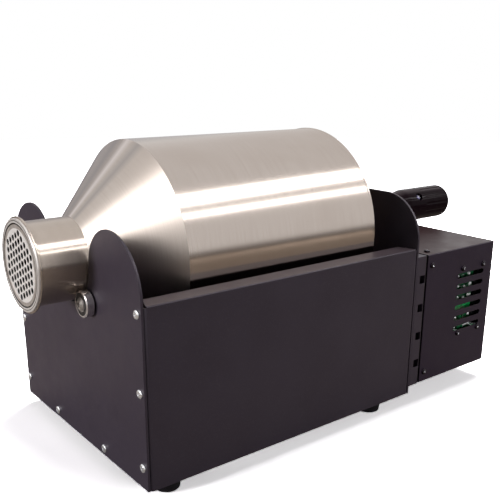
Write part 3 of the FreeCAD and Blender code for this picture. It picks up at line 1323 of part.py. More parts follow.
def make_control_back():
    """Back plate of the control box, its flanges inside the cover."""
    body = new_body("control_back")
    skin = "dims.sheet_thickness"
    gap = "dims.box_flange_gap"
    y = f"(dims.box_inner - {gap})"
    low = f"(dims.box_z + {skin} + {gap})"
    high = f"(dims.box_top - {skin} - {gap})"

    def flat(profile):
        profile.rectangle(f"-{y}", low, y, high)
        for across, up in box_bolt_spots():
            profile.circle(across, up, "dims.screw_hole")
        profile.circle("0", "dims.motor_z", "dims.motor_shaft_radius + 1")
        for side in ("", "-"):
            profile.circle(f"{side}dims.ear_spread", "dims.gearbox_z",
                           "dims.small_screw_radius + dims.seat_play")
    add_slab(body, "x", "dims.box_left", skin, flat)

    def rim(profile):
        profile.rectangle(f"-{y}", low, y, high)
        profile.rectangle(f"{skin} - {y}", f"{low} + {skin}", f"{y} - {skin}", f"{high} - {skin}")
    add_slab(body, "x", f"dims.box_left + {skin}", "dims.box_flange - dims.sheet_thickness", rim)

    def side_holes(profile):
        for x, z in front_screw_spots():
            profile.circle(x, z, "dims.small_screw_radius + dims.seat_play")
    for place in (f"-{y}", f"{y} - {skin}"):
        cut_slab(body, "y", place, skin, side_holes)

    def top_holes(profile):
        for side in ("", "-"):
            profile.circle("dims.cover_left + dims.top_screw_inset",
                           f"{side}(dims.half_depth - dims.top_screw_margin)",
                           "dims.small_screw_radius + dims.seat_play")
    cut_slab(body, "z", f"{high} - {skin}", skin, top_holes)


def board_screw_spots():
    """(x, z) of the screws of the circuit board."""
    for x in ("-", "+"):
        for z in ("-", "+"):
            yield f"dims.board_x {x} dims.board_hole_x", f"dims.board_z {z} dims.board_hole_z"


def make_control_cover():
    """Box of sheet, open at the left, with vent slots in its front."""
    body = new_body("control_cover")
    skin = "dims.sheet_thickness"
    add_slab(body, "x", "dims.cover_left", "dims.box_length",
             lambda profile: profile.rectangle("-dims.half_depth", "dims.box_z",
                                               "dims.half_depth", "dims.box_top"))
    cut_slab(body, "x", "dims.cover_left", f"dims.box_length - {skin}",
             lambda profile: profile.rectangle("-dims.box_inner", f"dims.box_z + {skin}",
                                               "dims.box_inner", f"dims.box_top - {skin}"))
    half = number("dims.half_depth")
    rises = (number("dims.box_z"), number("dims.box_top"))
    left = number("dims.cover_left")

    def outer(points):
        corners = all(abs(abs(p.y) - half) < 0.01 and min(abs(p.z - z) for z in rises) < 0.01
                      for p in points)
        return corners and max(p.x for p in points) > left + 1
    round_edges(body, f"{skin} * 0.95", outer)
    half_slot = "dims.vent_length / 2"
    slots = cut_slab(body, "y", "-dims.half_depth", skin,
                     lambda profile: profile.slot(
                         f"dims.vent_x - {half_slot}", "dims.vent_z - dims.vent_height / 2",
                         f"dims.vent_x + {half_slot}", "dims.vent_z + dims.vent_height / 2"))
    upwards(body, slots, "dims.vent_count", "dims.vent_pitch")

    def front_holes(profile):
        for x, z in front_screw_spots():
            profile.circle(x, z, "dims.small_hole")
        for x, z in board_screw_spots():
            profile.circle(x, z, "dims.small_hole")
    cut_slab(body, "y", "-dims.half_depth", skin, front_holes)

    def back_holes(profile):
        for x, z in front_screw_spots():
            profile.circle(x, z, "dims.small_hole")
    cut_slab(body, "y", "dims.box_inner", skin, back_holes)

    def top_holes(profile):
        for side in ("", "-"):
            profile.circle("dims.cover_left + dims.top_screw_inset",
                           f"{side}(dims.half_depth - dims.top_screw_margin)",
                           "dims.small_hole")
    cut_slab(body, "z", f"dims.box_top - {skin}", skin, top_holes)

    def controls(profile):
        profile.circle("dims.knob_place", "dims.control_z", "dims.control_neck + dims.seat_play")
        around(profile, "dims.switch_place", "dims.control_z",
               "dims.switch_width / 2 - dims.switch_wall + dims.switch_skin + dims.seat_play",
               "dims.switch_length / 2 - dims.switch_wall + dims.switch_skin + dims.seat_play")
        around(profile, "dims.inlet_place", "dims.inlet_z",
               "dims.inlet_width / 2 + dims.seat_play", "dims.inlet_height / 2 + dims.seat_play")
        for side in ("-", "+"):
            profile.circle(f"dims.inlet_place {side} dims.inlet_screw_spread", "dims.inlet_z",
                           "dims.small_hole")
    cut_slab(body, "x", f"dims.cover_right - {skin}", skin, controls)


def around(profile, across, up, half_width, half_height):
    """Rectangle round a point."""
    profile.rectangle(f"{across} - ({half_width})", f"{up} - ({half_height})",
                      f"{across} + ({half_width})", f"{up} + ({half_height})")


def make_small_screws():
    screw = make_screw("small_screw", "dims.small_screw_radius", "dims.small_screw_length",
                       "dims.small_head_radius", "dims.small_head_height")
    spots = []
    for x, z in front_screw_spots():
        spots.append((x, "-dims.half_depth", z, "front"))
        spots.append((x, "dims.half_depth", z, "back"))
    for side in ("", "-"):
        spots.append(("dims.cover_left + dims.top_screw_inset",
                      f"{side}(dims.half_depth - dims.top_screw_margin)", "dims.box_top", "up"))
    for side in ("-", "+"):
        spots.append(("dims.cover_right + dims.inlet_flange",
                      f"dims.inlet_place {side} dims.inlet_screw_spread", "dims.inlet_z",
                      "right"))
    for side in ("", "-"):
        spots.append(("dims.gearbox_left + dims.ear_thickness", f"{side}dims.ear_spread",
                      "dims.gearbox_z", "right"))
    for x, z in board_screw_spots():
        spots.append((x, "-dims.half_depth", z, "front"))
        spots.append((x, "dims.board_face + dims.board_thickness", z, "back"))
    copies("small_screws", screw, spots)


def make_box_bolts():
    """Long screws from the control box through the spacer frame into the end plate."""
    bolt = make_screw("box_bolt", "dims.screw_radius",
                      "dims.gearbox_left - dims.right_inside",
                      "dims.screw_head_radius", "dims.screw_head_height")
    copies("box_bolts", bolt, [("dims.gearbox_left", y, z, "right") for y, z in box_bolt_spots()])


def make_circuit_board():
    board = new_body("circuit_board")

    def outline(profile):
        around(profile, "dims.board_x", "dims.board_z", "dims.board_length / 2",
               "dims.board_height / 2")
        for x, z in board_screw_spots():
            profile.circle(x, z, "dims.small_hole")
    add_slab(board, "y", "dims.board_face", "dims.board_thickness", outline)
    posts = new_body("board_standoffs")

    def sleeves(profile):
        for x, z in board_screw_spots():
            profile.circle(x, z, "dims.standoff_radius")
            profile.circle(x, z, "dims.small_screw_radius + dims.seat_play")
    add_slab(posts, "y", "-dims.box_inner", "dims.standoff_length", sleeves)
    sink = new_body("board_heat_sink")
    add_slab(sink, "y", "dims.board_face - dims.sink_thickness", "dims.sink_thickness",
             lambda profile: profile.rectangle(
                 "dims.board_x + dims.sink_place", "dims.board_z - dims.sink_height / 2",
                 "dims.board_x + dims.sink_place + dims.sink_length",
                 "dims.board_z + dims.sink_height / 2"))
    parts = new_body("board_components")
    boxes = ((-6, 22, 5, 4, 3), (3, 21, 5, 5, 4), (11, 24, 4, 4, 2.5), (-5, 10, 6, 4, 3),
             (4, 11, 5, 5, 3.5), (12, 9, 4, 4, 2), (-2, -1, 7, 4, 3), (8, 0, 5, 4, 2.5),
             (-19, 4, 6, 22, 5), (-5, -22, 6, 5, 4), (3, -23, 4, 4, 2), (-3, -33, 10, 3, 3))
    for x, z, width, height, depth in boxes:
        add_slab(parts, "y", f"dims.board_face - {depth}", f"{depth}",
                 lambda profile, c=(x, z, width, height): around(
                     profile, f"dims.board_x + {c[0]}", f"dims.board_z + {c[1]}",
                     f"{c[2] / 2}", f"{c[3] / 2}"))


def make_heat_control():
    """Rotary heat control behind the cover, with its spindle and knob."""
    face = "dims.cover_right"
    inside = f"({face} - dims.sheet_thickness)"
    neck_bore = "dims.knob_shaft_radius + dims.running_play"
    spots = {"y": "dims.knob_place", "z": "dims.control_z"}
    control = new_body("heat_control", **spots)
    revolve(control, "x",
            (f"{inside} - dims.control_depth", "0"), (f"{inside} - 5", "0"),
            (f"{inside} - 5", neck_bore), (f"{face} + 2", neck_bore),
            (f"{face} + 2", "dims.control_neck"), (inside, "dims.control_neck"),
            (inside, "dims.control_radius"),
            (f"{inside} - dims.control_depth", "dims.control_radius"))
    spindle = new_body("heat_spindle", **spots)
    end = f"{face} + dims.knob_gap + dims.knob_height - 3"
    add_slab(spindle, "x", f"{inside} - 4.7", f"{end} - ({inside} - 4.7)",
             lambda profile: profile.circle("0", "0", "dims.knob_shaft_radius"))
    knob = new_body("heat_knob", **spots)
    low = f"({face} + dims.knob_gap)"
    high = f"({low} + dims.knob_height)"
    bore = "dims.knob_shaft_radius + dims.seat_play"
    revolve(knob, "x",
            (f"{low} + 3", bore), (end, bore), (end, "0"), (high, "0"),
            (high, "dims.knob_radius - 3"), (f"{high} - 1.2", "dims.knob_radius - 1.6"),
            (low, "dims.knob_radius"), (low, "dims.control_neck + 2"),
            (f"{low} + 3", "dims.control_neck + 2"))
    scallop = cut_slab(knob, "x", f"{low} + 3", "dims.knob_height - 3",
                       lambda profile: profile.circle("0", "dims.knob_radius + 1.6", "2.6"))
    polar(knob, scallop, "dims.knob_scallops")


def make_power_switch():
    """Rocker switch: a framed housing and the rocker on its two pivots."""
    face = "dims.cover_right"
    open_y = "(dims.switch_width / 2 - dims.switch_wall)"
    open_z = "(dims.switch_length / 2 - dims.switch_wall)"
    pivot = f"{face} - dims.rocker_pivot_depth"
    housing = new_body("switch_housing", y="dims.switch_place", z="dims.control_z")
    add_slab(housing, "x", face, "dims.switch_frame",
             lambda profile: around(profile, "0", "0", "dims.switch_width / 2",
                                    "dims.switch_length / 2"))
    add_slab(housing, "x", f"{face} - dims.switch_depth", "dims.switch_depth",
             lambda profile: around(profile, "0", "0", f"{open_y} + dims.switch_skin",
                                    f"{open_z} + dims.switch_skin"))
    cut_slab(housing, "x", f"{face} - 12", "12 + dims.switch_frame",
             lambda profile: around(profile, "0", "0", open_y, open_z))
    cut_slab(housing, "y", f"-({open_y} + dims.switch_skin)",
             f"2 * ({open_y} + dims.switch_skin)",
             lambda profile: profile.circle(pivot, "0", "dims.pivot_radius + dims.running_play"))
    rocker = new_body("switch_rocker", y="dims.switch_place", z="dims.control_z")
    rocker.Placement = FreeCAD.Placement(
        FreeCAD.Vector(), FreeCAD.Rotation(FreeCAD.Vector(0, 1, 0), number("dims.rocker_tilt")))
    rocker.setExpression("Placement.Base.x", f"dims.centre_shift + {pivot}")
    rocker.setExpression("Placement.Base.y", "dims.switch_place")
    rocker.setExpression("Placement.Base.z", "dims.control_z")
    half = f"({open_y} - dims.rocker_gap)"
    add_slab(rocker, "y", f"-{half}", f"2 * {half}",
             lambda profile: profile.outline(
                 ("-dims.rocker_back", "1 - dims.rocker_half"),
                 ("dims.rocker_rise", "-dims.rocker_half"), ("dims.rocker_dip", "0"),
                 ("dims.rocker_rise", "dims.rocker_half"),
                 ("-dims.rocker_back", "dims.rocker_half - 1")))
    reach = f"({open_y} + dims.pivot_length)"
    add_slab(rocker, "y", f"-{reach}", f"2 * {reach}",
             lambda profile: profile.circle("0", "0", "dims.pivot_radius"))


def make_power_inlet():
    """Three-pin mains inlet with a screwed flange."""
    face = "dims.cover_right"
    socket_y = "dims.inlet_width / 2 - dims.inlet_wall"
    socket_z = "dims.inlet_height / 2 - dims.inlet_wall"
    body = new_body("power_inlet", y="dims.inlet_place", z="dims.inlet_z")
    add_slab(body, "x", face, "dims.inlet_flange",
             lambda profile: around(profile, "0", "0", "dims.inlet_flange_width / 2",
                                    "dims.inlet_flange_height / 2"))
    add_slab(body, "x", f"{face} - dims.inlet_depth", "dims.inlet_depth",
             lambda profile: around(profile, "0", "0", "dims.inlet_width / 2",
                                    "dims.inlet_height / 2"))
    cut_slab(body, "x", f"{face} - dims.inlet_depth + 4",
             "dims.inlet_depth - 4 + dims.inlet_flange",
             lambda profile: profile.outline(
                 (f"-({socket_y})", f"-({socket_z})"), (socket_y, f"-({socket_z})"),
                 (socket_y, f"{socket_z} - 4"), (f"{socket_y} - 4", socket_z),
                 (f"4 - ({socket_y})", socket_z), (f"-({socket_y})", f"{socket_z} - 4")))

    def holes(profile):
        for side in ("", "-"):
            profile.circle(f"{side}dims.inlet_screw_spread", "0",
                           "dims.small_screw_radius + dims.seat_play")
    cut_slab(body, "x", face, "dims.inlet_flange", holes)
    spots = (("-dims.pin_spread", "-2"), ("0", "2.5"), ("dims.pin_spread", "-2"))

    def blades(profile, play="0"):
        for y, z in spots:
            around(profile, y, z, f"dims.pin_thickness / 2 + {play}",
                   f"dims.pin_width / 2 + {play}")
    cut_slab(body, "x", f"{face} - dims.inlet_depth", "4",
             lambda profile: blades(profile, "dims.seat_play"))
    pins = new_body("inlet_pins", y="dims.inlet_place", z="dims.inlet_z")
    add_slab(pins, "x", f"{face} - dims.inlet_depth - 6", "dims.inlet_depth + 4", blades)


# ---------------------------------------------------------------- write

def check_and_write():
    doc.recompute()
    for item in doc.Objects:
        if "Invalid" in item.State or "Error" in item.State:
            raise RuntimeError(f"{item.Label} did not recompute: {item.State}")
        if item.TypeId in ("PartDesign::Pocket", "PartDesign::Groove"):
            before = item.BaseFeature.Shape.Volume
            if item.Shape.Volume > before - 1e-3:
                raise RuntimeError(f"{item.Label} removed nothing")
    os.makedirs("parts", exist_ok=True)
    for item in sub_parts:
        if item.Shape.isNull() or not item.Shape.isValid():
            raise RuntimeError(f"{item.Label} has no valid shape")
    for item in sub_parts:
        item.Shape.exportStep(os.path.join("parts", item.Label + ".step"))
    print(len(sub_parts), "sub-parts written")


fill_sheet()
make_left_end_plate()
make_right_end_plate()
make_panel("front_panel", False)
make_panel("back_panel", True)
make_floor()
make_base_screws()
make_feet()
make_reflector()
make_heaters()
make_heater_brackets()
make_thermal_cutout()
make_roller_rings("front", "-")
make_roller_rings("rear", "")
make_roller_axles()
make_drum_shell()
make_drum_end_disc()
make_mixing_vanes()
make_drum_shaft()
make_shaft_hub()
make_hub_screws()
make_drum_gear()
make_shaft_bearing()
make_handle_grip()
make_handle_screw()
make_mouth_cap()
make_mouth_mesh()
make_motor_pinion()
make_motor_shaft()
make_motor_shaft_bush()
make_gearbox()
make_motor_can()
make_spacer_frame()
make_control_back()
make_control_cover()
make_small_screws()
make_box_bolts()
make_circuit_board()
make_heat_control()
make_power_switch()
make_power_inlet()
check_and_write()
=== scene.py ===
import json
import math
import random

import bmesh
import bpy
from mathutils import Matrix, Vector


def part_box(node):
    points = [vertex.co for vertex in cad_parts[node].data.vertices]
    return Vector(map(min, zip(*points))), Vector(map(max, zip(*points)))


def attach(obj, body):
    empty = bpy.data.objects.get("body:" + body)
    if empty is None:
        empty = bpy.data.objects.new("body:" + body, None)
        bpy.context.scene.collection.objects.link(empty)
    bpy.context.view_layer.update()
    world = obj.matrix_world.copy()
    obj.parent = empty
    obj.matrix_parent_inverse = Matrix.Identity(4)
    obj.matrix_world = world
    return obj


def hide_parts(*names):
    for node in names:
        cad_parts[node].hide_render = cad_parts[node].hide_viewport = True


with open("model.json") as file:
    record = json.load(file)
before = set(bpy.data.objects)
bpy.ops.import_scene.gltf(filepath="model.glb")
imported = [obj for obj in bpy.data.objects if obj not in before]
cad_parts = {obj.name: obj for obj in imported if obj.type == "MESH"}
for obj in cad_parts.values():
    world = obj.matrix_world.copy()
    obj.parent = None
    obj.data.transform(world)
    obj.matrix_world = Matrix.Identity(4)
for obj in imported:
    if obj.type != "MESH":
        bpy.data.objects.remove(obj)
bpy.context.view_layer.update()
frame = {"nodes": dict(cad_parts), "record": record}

# Home coffee bean roaster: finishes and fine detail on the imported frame.
# Lengths are in metres.  X runs along the drum from the mouth to the handle, Y from the
# front panel to the back panel, Z up.

PARTS = frame["nodes"]
RECORD = frame["record"]
BODY_OF = {node: body for body, nodes in RECORD["behaviour"]["bodies"].items() for node in nodes}
SLOT_OF = {}
DRUM_AXIS = sum(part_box("drum_shaft"), Vector()) / 2
WELD = 0.000002  # points nearer than this are one point

# The floor glows between these two distances from the middle, from this much to this much.
FLOOR_FADE = 0.38, 0.90, 0.17, 1.0

NECK_RADIUS = 0.034
CAP_STEP = 0.0334  # inner edge of the cap's front face
CAP_GROOVE = 0.0353  # fine groove in that face
PUNCHED_PAINTED_LIGHT = 0.0294  # painted light: the near-white middle of the perforated disc
GAP_SHADOW_BAND = 0.0006  # painted shadow of the gap, laid on the edge of the spacer frame beside the control box
CONE_COLOUR = 0.500, 0.450, 0.425
# Painted reflections on the cone, laid on as streaks along the sheet: degrees from the top, half
# width in degrees, brightness.
CONE_PAINTED_REFLECTIONS = (-31, 7, 0.78), (-10, 6, 0.82), (2, 5, 1.45), (13, 6, 0.70)
# The solids have smaller holes, in rows that are turned less.
MOUTH_HOLE_GROWTH = 1.4
MOUTH_HOLE_TURN = math.radians(10)
HANDLE_SCREW_RISE = 0.0046
HANDLE_SCREW_GROWTH = 1.3  # head, against the solid's
# Copper areas of the board: the edge of the first below the middle, and the next below it.
POUR_DROP = 0.0055
POUR_STEP = 0.0115


def millimetres(*values):
    return [value * 0.001 for value in values]


# ---------------------------------------------------------------- studio

def make_camera():
    turn, tilt, roll = (math.radians(a) for a in (-38.0532, 17.4573, 0.2956))
    lens = bpy.data.cameras.new("studio_camera")
    lens.lens, lens.sensor_width, lens.shift_y = 52.447, 36, 0.10
    lens.clip_start, lens.clip_end = 0.02, 40
    camera = bpy.data.objects.new("studio_camera", lens)
    bpy.context.collection.objects.link(camera)
    camera.matrix_world = (Matrix.Translation((-0.45403, -0.54419, 0.31830))
                           @ Matrix.Rotation(turn, 4, "Z")
                           @ Matrix.Rotation(math.pi / 2 - tilt, 4, "X")
                           @ Matrix.Rotation(roll, 4, "Z"))
    bpy.context.scene.camera = camera


def softbox(name, place, aimed_at, width, height, watts, on_matt=True, in_metal=True):
    """A square lamp that shines from its place at a point."""
    lamp = bpy.data.lights.new(name, "AREA")
    lamp.shape, lamp.size, lamp.size_y, lamp.energy = "RECTANGLE", width, height, watts
    holder = bpy.data.objects.new(name, lamp)
    bpy.context.collection.objects.link(holder)
    holder.location = place
    holder.rotation_euler = (Vector(place) - Vector(aimed_at)).to_track_quat("Z", "Y").to_euler()
    holder.visible_diffuse, holder.visible_glossy = on_matt, in_metal
    return holder


def strip_lamp(name, place, aimed_at, length, width, watts):
    """A long lamp that lies along X above the front, for the metal alone."""
    holder = softbox(name, place, aimed_at, length, width, watts, on_matt=False)
    across = Vector((0, place[1] - aimed_at[1], place[2] - aimed_at[2]))
    tilt = math.atan2(-across.y, across.z)
    holder.rotation_euler = (tilt, 0, 0)
    return holder


def make_lamps():
    softbox("key_softbox", (-1.38, -0.21, 1.11), (-0.18, -0.04, 0.23), 0.80, 0.75, 13,
            on_matt=False)
    softbox("top_softbox", (0.35, 0.15, 1.50), (0.05, 0, 0.15), 0.6, 0.6, 16, in_metal=False)
    softbox("left_softbox", (-1.9, 0.35, 0.22), (-0.2, 0, 0.12), 0.5, 0.5, 35, in_metal=False)
    softbox("front_softbox", (0.5, -1.9, 0.5), (0, -0.1, 0.1), 0.6, 0.6, 17, in_metal=False)
    strip_lamp("upper_strip", (0.957, -0.78, 1.27), (0.957, -0.076, 0.224), 2.0, 0.235, 12)
    strip_lamp("lower_strip", (0.957, -1.06, 1.00), (0.957, -0.083, 0.213), 2.0, 0.115, 3.4)


def make_surroundings():
    """White all round for the camera and for reflections, paler than that as light."""
    world = bpy.data.worlds.new("studio")
    bpy.context.scene.world = world
    world.use_nodes = True
    tree = world.node_tree
    tree.nodes.clear()
    output = tree.nodes.new("ShaderNodeOutputWorld")
    seen = tree.nodes.new("ShaderNodeBackground")
    seen.inputs["Color"].default_value = (1.0, 1.0, 1.0, 1.0)
    lit = tree.nodes.new("ShaderNodeBackground")
    lit.inputs["Color"].default_value = (1.0, 1.0, 1.0, 1.0)
    lit.inputs["Strength"].default_value = 0.05
    mirrored = tree.nodes.new("ShaderNodeBackground")
    mirrored.inputs["Strength"].default_value = 1.0
    rays = tree.nodes.new("ShaderNodeLightPath")
    clear = tree.nodes.new("ShaderNodeMath")
    clear.operation = "MAXIMUM"
    tree.links.new(rays.outputs["Is Camera Ray"], clear.inputs[0])
    tree.links.new(rays.outputs["Is Transmission Ray"], clear.inputs[1])
    place = tree.nodes.new("ShaderNodeTexCoord")
    height = tree.nodes.new("ShaderNodeSeparateXYZ")
    tree.links.new(place.outputs["Generated"], height.inputs[0])
    fade = tree.nodes.new("ShaderNodeValToRGB")
    fade.color_ramp.elements[0].position = 0.0
    fade.color_ramp.elements[0].color = (0.26, 0.24, 0.23, 1)
    fade.color_ramp.elements[1].position = 0.06
    fade.color_ramp.elements[1].color = (1, 1, 1, 1)
    lift = tree.nodes.new("ShaderNodeMath")
    lift.operation = "ADD"
    lift.inputs[1].default_value = 0.03
    tree.links.new(height.outputs["Z"], lift.inputs[0])
    tree.links.new(lift.outputs[0], fade.inputs[0])
    corner = tree.nodes.new("ShaderNodeVectorMath")
    corner.operation = "DOT_PRODUCT"
    corner.inputs[1].default_value = Vector((0.09, 1.0, 0.12)).normalized()
    tree.links.new(place.outputs["Generated"], corner.inputs[0])
    dim = tree.nodes.new("ShaderNodeValToRGB")
    dim.color_ramp.elements[0].position = 0.84
    dim.color_ramp.elements[0].color = (1, 1, 1, 1)
    dim.color_ramp.elements[1].position = 0.94
    dim.color_ramp.elements[1].color = (0.55, 0.54, 0.56, 1)
    tree.links.new(corner.outputs["Value"], dim.inputs[0])
    room = tree.nodes.new("ShaderNodeMix")
    room.data_type, room.blend_type = "RGBA", "MULTIPLY"
    room.inputs["Factor"].default_value = 1.0
    tree.links.new(fade.outputs[0], room.inputs["A"])
    tree.links.new(dim.outputs[0], room.inputs["B"])
    tree.links.new(room.outputs["Result"], mirrored.inputs["Color"])
    reflections = tree.nodes.new("ShaderNodeMixShader")
    tree.links.new(rays.outputs["Is Glossy Ray"], reflections.inputs[0])
    tree.links.new(lit.outputs[0], reflections.inputs[1])
    tree.links.new(mirrored.outputs[0], reflections.inputs[2])
    view = tree.nodes.new("ShaderNodeMixShader")
    tree.links.new(clear.outputs[0], view.inputs[0])
    tree.links.new(reflections.outputs[0], view.inputs[1])
    tree.links.new(seen.outputs[0], view.inputs[2])
    tree.links.new(view.outputs[0], output.inputs["Surface"])


def make_floor():
    """A pale matt table top that fades to white away from the roaster, browner in the metal."""
    nothing_selected()
    bpy.ops.mesh.primitive_circle_add(vertices=96, radius=3.0, fill_type="NGON",
                                      location=(0, 0, -0.0002))
    floor = bpy.context.object
    floor.name = "studio_floor"
    pale = bpy.data.materials.new("pale_floor")
    pale.use_nodes = True
    tree = pale.node_tree
    tree.nodes.clear()

    def matt(colour):
        surface = tree.nodes.new("ShaderNodeBsdfDiffuse")
        surface.inputs["Color"].default_value = (*colour, 1)
        return surface.outputs[0]

    def blend(factor, first, second):
        mixed = tree.nodes.new("ShaderNodeMixShader")
        tree.links.new(factor, mixed.inputs[0])
        tree.links.new(first, mixed.inputs[1])
        tree.links.new(second, mixed.inputs[2])
        return mixed.outputs[0]

    def added(first, second):
        total = tree.nodes.new("ShaderNodeAddShader")
        tree.links.new(first, total.inputs[0])
        tree.links.new(second, total.inputs[1])
        return total.outputs[0]

    rays = tree.nodes.new("ShaderNodeLightPath")
    place = tree.nodes.new("ShaderNodeTexCoord")
    distance = tree.nodes.new("ShaderNodeVectorMath")
    distance.operation = "LENGTH"
    tree.links.new(place.outputs["Object"], distance.inputs[0])
    fade = tree.nodes.new("ShaderNodeMapRange")
    for socket, value in zip(("From Min", "From Max", "To Min", "To Max"), FLOOR_FADE):
        fade.inputs[socket].default_value = value
    tree.links.new(distance.outputs["Value"], fade.inputs["Value"])
    glow = tree.nodes.new("ShaderNodeEmission")
    glow.inputs["Color"].default_value = (1.0, 0.98, 1.0, 1)
    tree.links.new(fade.outputs["Result"], glow.inputs["Strength"])
    seen = added(matt((3.4, 3.35, 3.4)), glow.outputs[0])
    mirrored = blend(rays.outputs["Is Glossy Ray"], matt((0.26, 0.25, 0.26)),
                     matt((0.37, 0.31, 0.26)))
    output = tree.nodes.new("ShaderNodeOutputMaterial")
    tree.links.new(blend(rays.outputs["Is Camera Ray"], mirrored, seen), output.inputs["Surface"])
    floor.data.materials.append(pale)


# ---------------------------------------------------------------- finishes

class Finish:
    """A procedural material: one shader, and grain laid over it on object coordinates."""

    def __init__(self, name, colour, roughness, metallic=0.0, **sockets):
        self.material = bpy.data.materials.new(name)
        self.material.use_nodes = True
        self.tree = self.material.node_tree
        self.shader = self.tree.nodes["Principled BSDF"]
        self.colour = colour
        self.set("Base Color", (*colour, 1.0))
        self.set("Roughness", roughness)
        self.set("Metallic", metallic)
        for socket, value in sockets.items():
            self.set(socket.replace("_", " "), value)
        self.coordinates = self.tree.nodes.new("ShaderNodeTexCoord")

    def set(self, socket, value):
        self.shader.inputs[socket].default_value = value

    def link(self, output, target):
        self.tree.links.new(output, target)

    def grain(self, size, stretch=(1, 1, 1), detail=3.0, turn=(0, 0, 0), centre=(0, 0, 0)):
        """Noise whose grains are as long as size, in metres, times stretch."""
        mapping = self.tree.nodes.new("ShaderNodeMapping")
        mapping.inputs["Location"].default_value = centre
        mapping.inputs["Rotation"].default_value = turn
        mapping.inputs["Scale"].default_value = [1 / (size * s) for s in stretch]
        noise = self.tree.nodes.new("ShaderNodeTexNoise")
        noise.inputs["Scale"].default_value = 1.0
        noise.inputs["Detail"].default_value = detail
        self.link(self.coordinates.outputs["Object"], mapping.inputs["Vector"])
        self.link(mapping.outputs["Vector"], noise.inputs["Vector"])
        return noise.outputs["Fac"]

    def spread(self, grain, low, high, start=0.3, end=0.7):
        """The grain's values drawn out to a range."""
        stretch = self.tree.nodes.new("ShaderNodeMapRange")
        for socket, value in zip(("From Min", "From Max", "To Min", "To Max"),
                                 (start, end, low, high)):
            stretch.inputs[socket].default_value = value
        self.link(grain, stretch.inputs["Value"])
        return stretch.outputs["Result"]

    def mottle(self, grain, other, start=0.35, end=0.65):
        """A second colour where the grain is high."""
        previous = self.shader.inputs["Base Color"]
        blend = self.tree.nodes.new("ShaderNodeMix")
        blend.data_type = "RGBA"
        blend.inputs["B"].default_value = (*other, 1.0)
        if previous.is_linked:
            self.link(previous.links[0].from_socket, blend.inputs["A"])
        else:
            blend.inputs["A"].default_value = (*self.colour, 1.0)
        self.link(self.spread(grain, 0, 1, start, end), blend.inputs["Factor"])
        self.link(blend.outputs["Result"], previous)
        return self

    def polish(self, grain, low, high):
        """Roughness that varies with the grain."""
        self.link(self.spread(grain, low, high), self.shader.inputs["Roughness"])
        return self

    def coloured_inside(self, radius, inner_colour=(0.016, 0.012, 0.010), soft=0.0001):
        """Another colour inside a radius round the drum's axis."""
        length = self.tree.nodes.new("ShaderNodeVectorMath")
        length.operation = "LENGTH"
        self.link(self.from_axis(), length.inputs[0])
        return self.mottle(length.outputs["Value"], inner_colour, radius + soft, radius - soft)

    def from_axis(self):
        """Across and up from the drum's axis, in metres."""
        offset = self.tree.nodes.new("ShaderNodeVectorMath")
        offset.operation = "MULTIPLY_ADD"
        offset.inputs[1].default_value = (0, 1, 1)
        offset.inputs[2].default_value = (0, -DRUM_AXIS.y, -DRUM_AXIS.z)
        self.link(self.coordinates.outputs["Object"], offset.inputs[0])
        return offset.outputs["Vector"]

    def painted_reflection_streak(self, turn, width, colour):
        """A painted reflection streak along the sheet, at an angle from the top towards the front.
        """
        parts = self.tree.nodes.new("ShaderNodeSeparateXYZ")
        self.link(self.from_axis(), parts.inputs["Vector"])
        angle = self.tree.nodes.new("ShaderNodeMath")
        angle.operation = "ARCTAN2"
        self.link(parts.outputs["Y"], angle.inputs[0])
        self.link(parts.outputs["Z"], angle.inputs[1])
        aside = self.tree.nodes.new("ShaderNodeMath")
        aside.operation = "ADD"
        aside.inputs[1].default_value = math.radians(turn)
        self.link(angle.outputs["Value"], aside.inputs[0])
        size = self.tree.nodes.new("ShaderNodeMath")
        size.operation = "ABSOLUTE"
        self.link(aside.outputs["Value"], size.inputs[0])
        return self.mottle(size.outputs["Value"], colour, math.radians(width), 0)

    def along(self, axis):
        """The place along X, Y or Z, in metres."""
        parts = self.tree.nodes.new("ShaderNodeSeparateXYZ")
        self.link(self.coordinates.outputs["Object"], parts.inputs["Vector"])
        return parts.outputs[axis]

    def top_light_and_dust(self, top_colour, start=0.85, end=0.98):
        """A warmer, lighter colour on the faces that look up: painted light from above, with some
        dust.
        """
        parts = self.tree.nodes.new("ShaderNodeSeparateXYZ")
        self.link(self.coordinates.outputs["Normal"], parts.inputs["Vector"])
        return self.mottle(parts.outputs["Z"], top_colour, start, end)

    def emboss(self, grain, height, strength=1.0):
        """A relief of that height, in metres."""
        relief = self.tree.nodes.new("ShaderNodeBump")
        relief.inputs["Strength"].default_value = strength
        relief.inputs["Distance"].default_value = height
        previous = self.shader.inputs["Normal"]
        if previous.is_linked:
            self.link(previous.links[0].from_socket, relief.inputs["Normal"])
        self.link(grain, relief.inputs["Height"])
        self.link(relief.outputs["Normal"], previous)
        return self

    def brushed(self, stretch, roughness, around="X"):
        """Fine lines round an axis, which draw the highlights out along it."""
        tangent = self.tree.nodes.new("ShaderNodeTangent")
        tangent.direction_type, tangent.axis = "RADIAL", around
        self.link(tangent.outputs["Tangent"], self.shader.inputs["Tangent"])
        self.set("Anisotropic", stretch)
        self.set("Anisotropic Rotation", 0.25)
        self.set("Roughness", roughness)
        return self


def powder_coat(name, colour, thin, worn, shine):
    """Violet-black powder coat with a fine orange-peel surface."""
    paint = Finish(name, colour, 0.40, Specular_IOR_Level=shine,
                   Specular_Tint=(1.0, 0.90, 0.94, 1.0))
    paint.mottle(paint.grain(0.060, detail=4), thin)
    paint.mottle(paint.grain(0.0011, detail=2), worn, 0.56, 0.74)
    paint.polish(paint.grain(0.018, detail=3), 0.34, 0.44)
    paint.emboss(paint.grain(0.0009, detail=2), 0.00006, 0.35)
    paint.emboss(paint.grain(0.0050, detail=2), 0.00010, 0.25)
    return paint


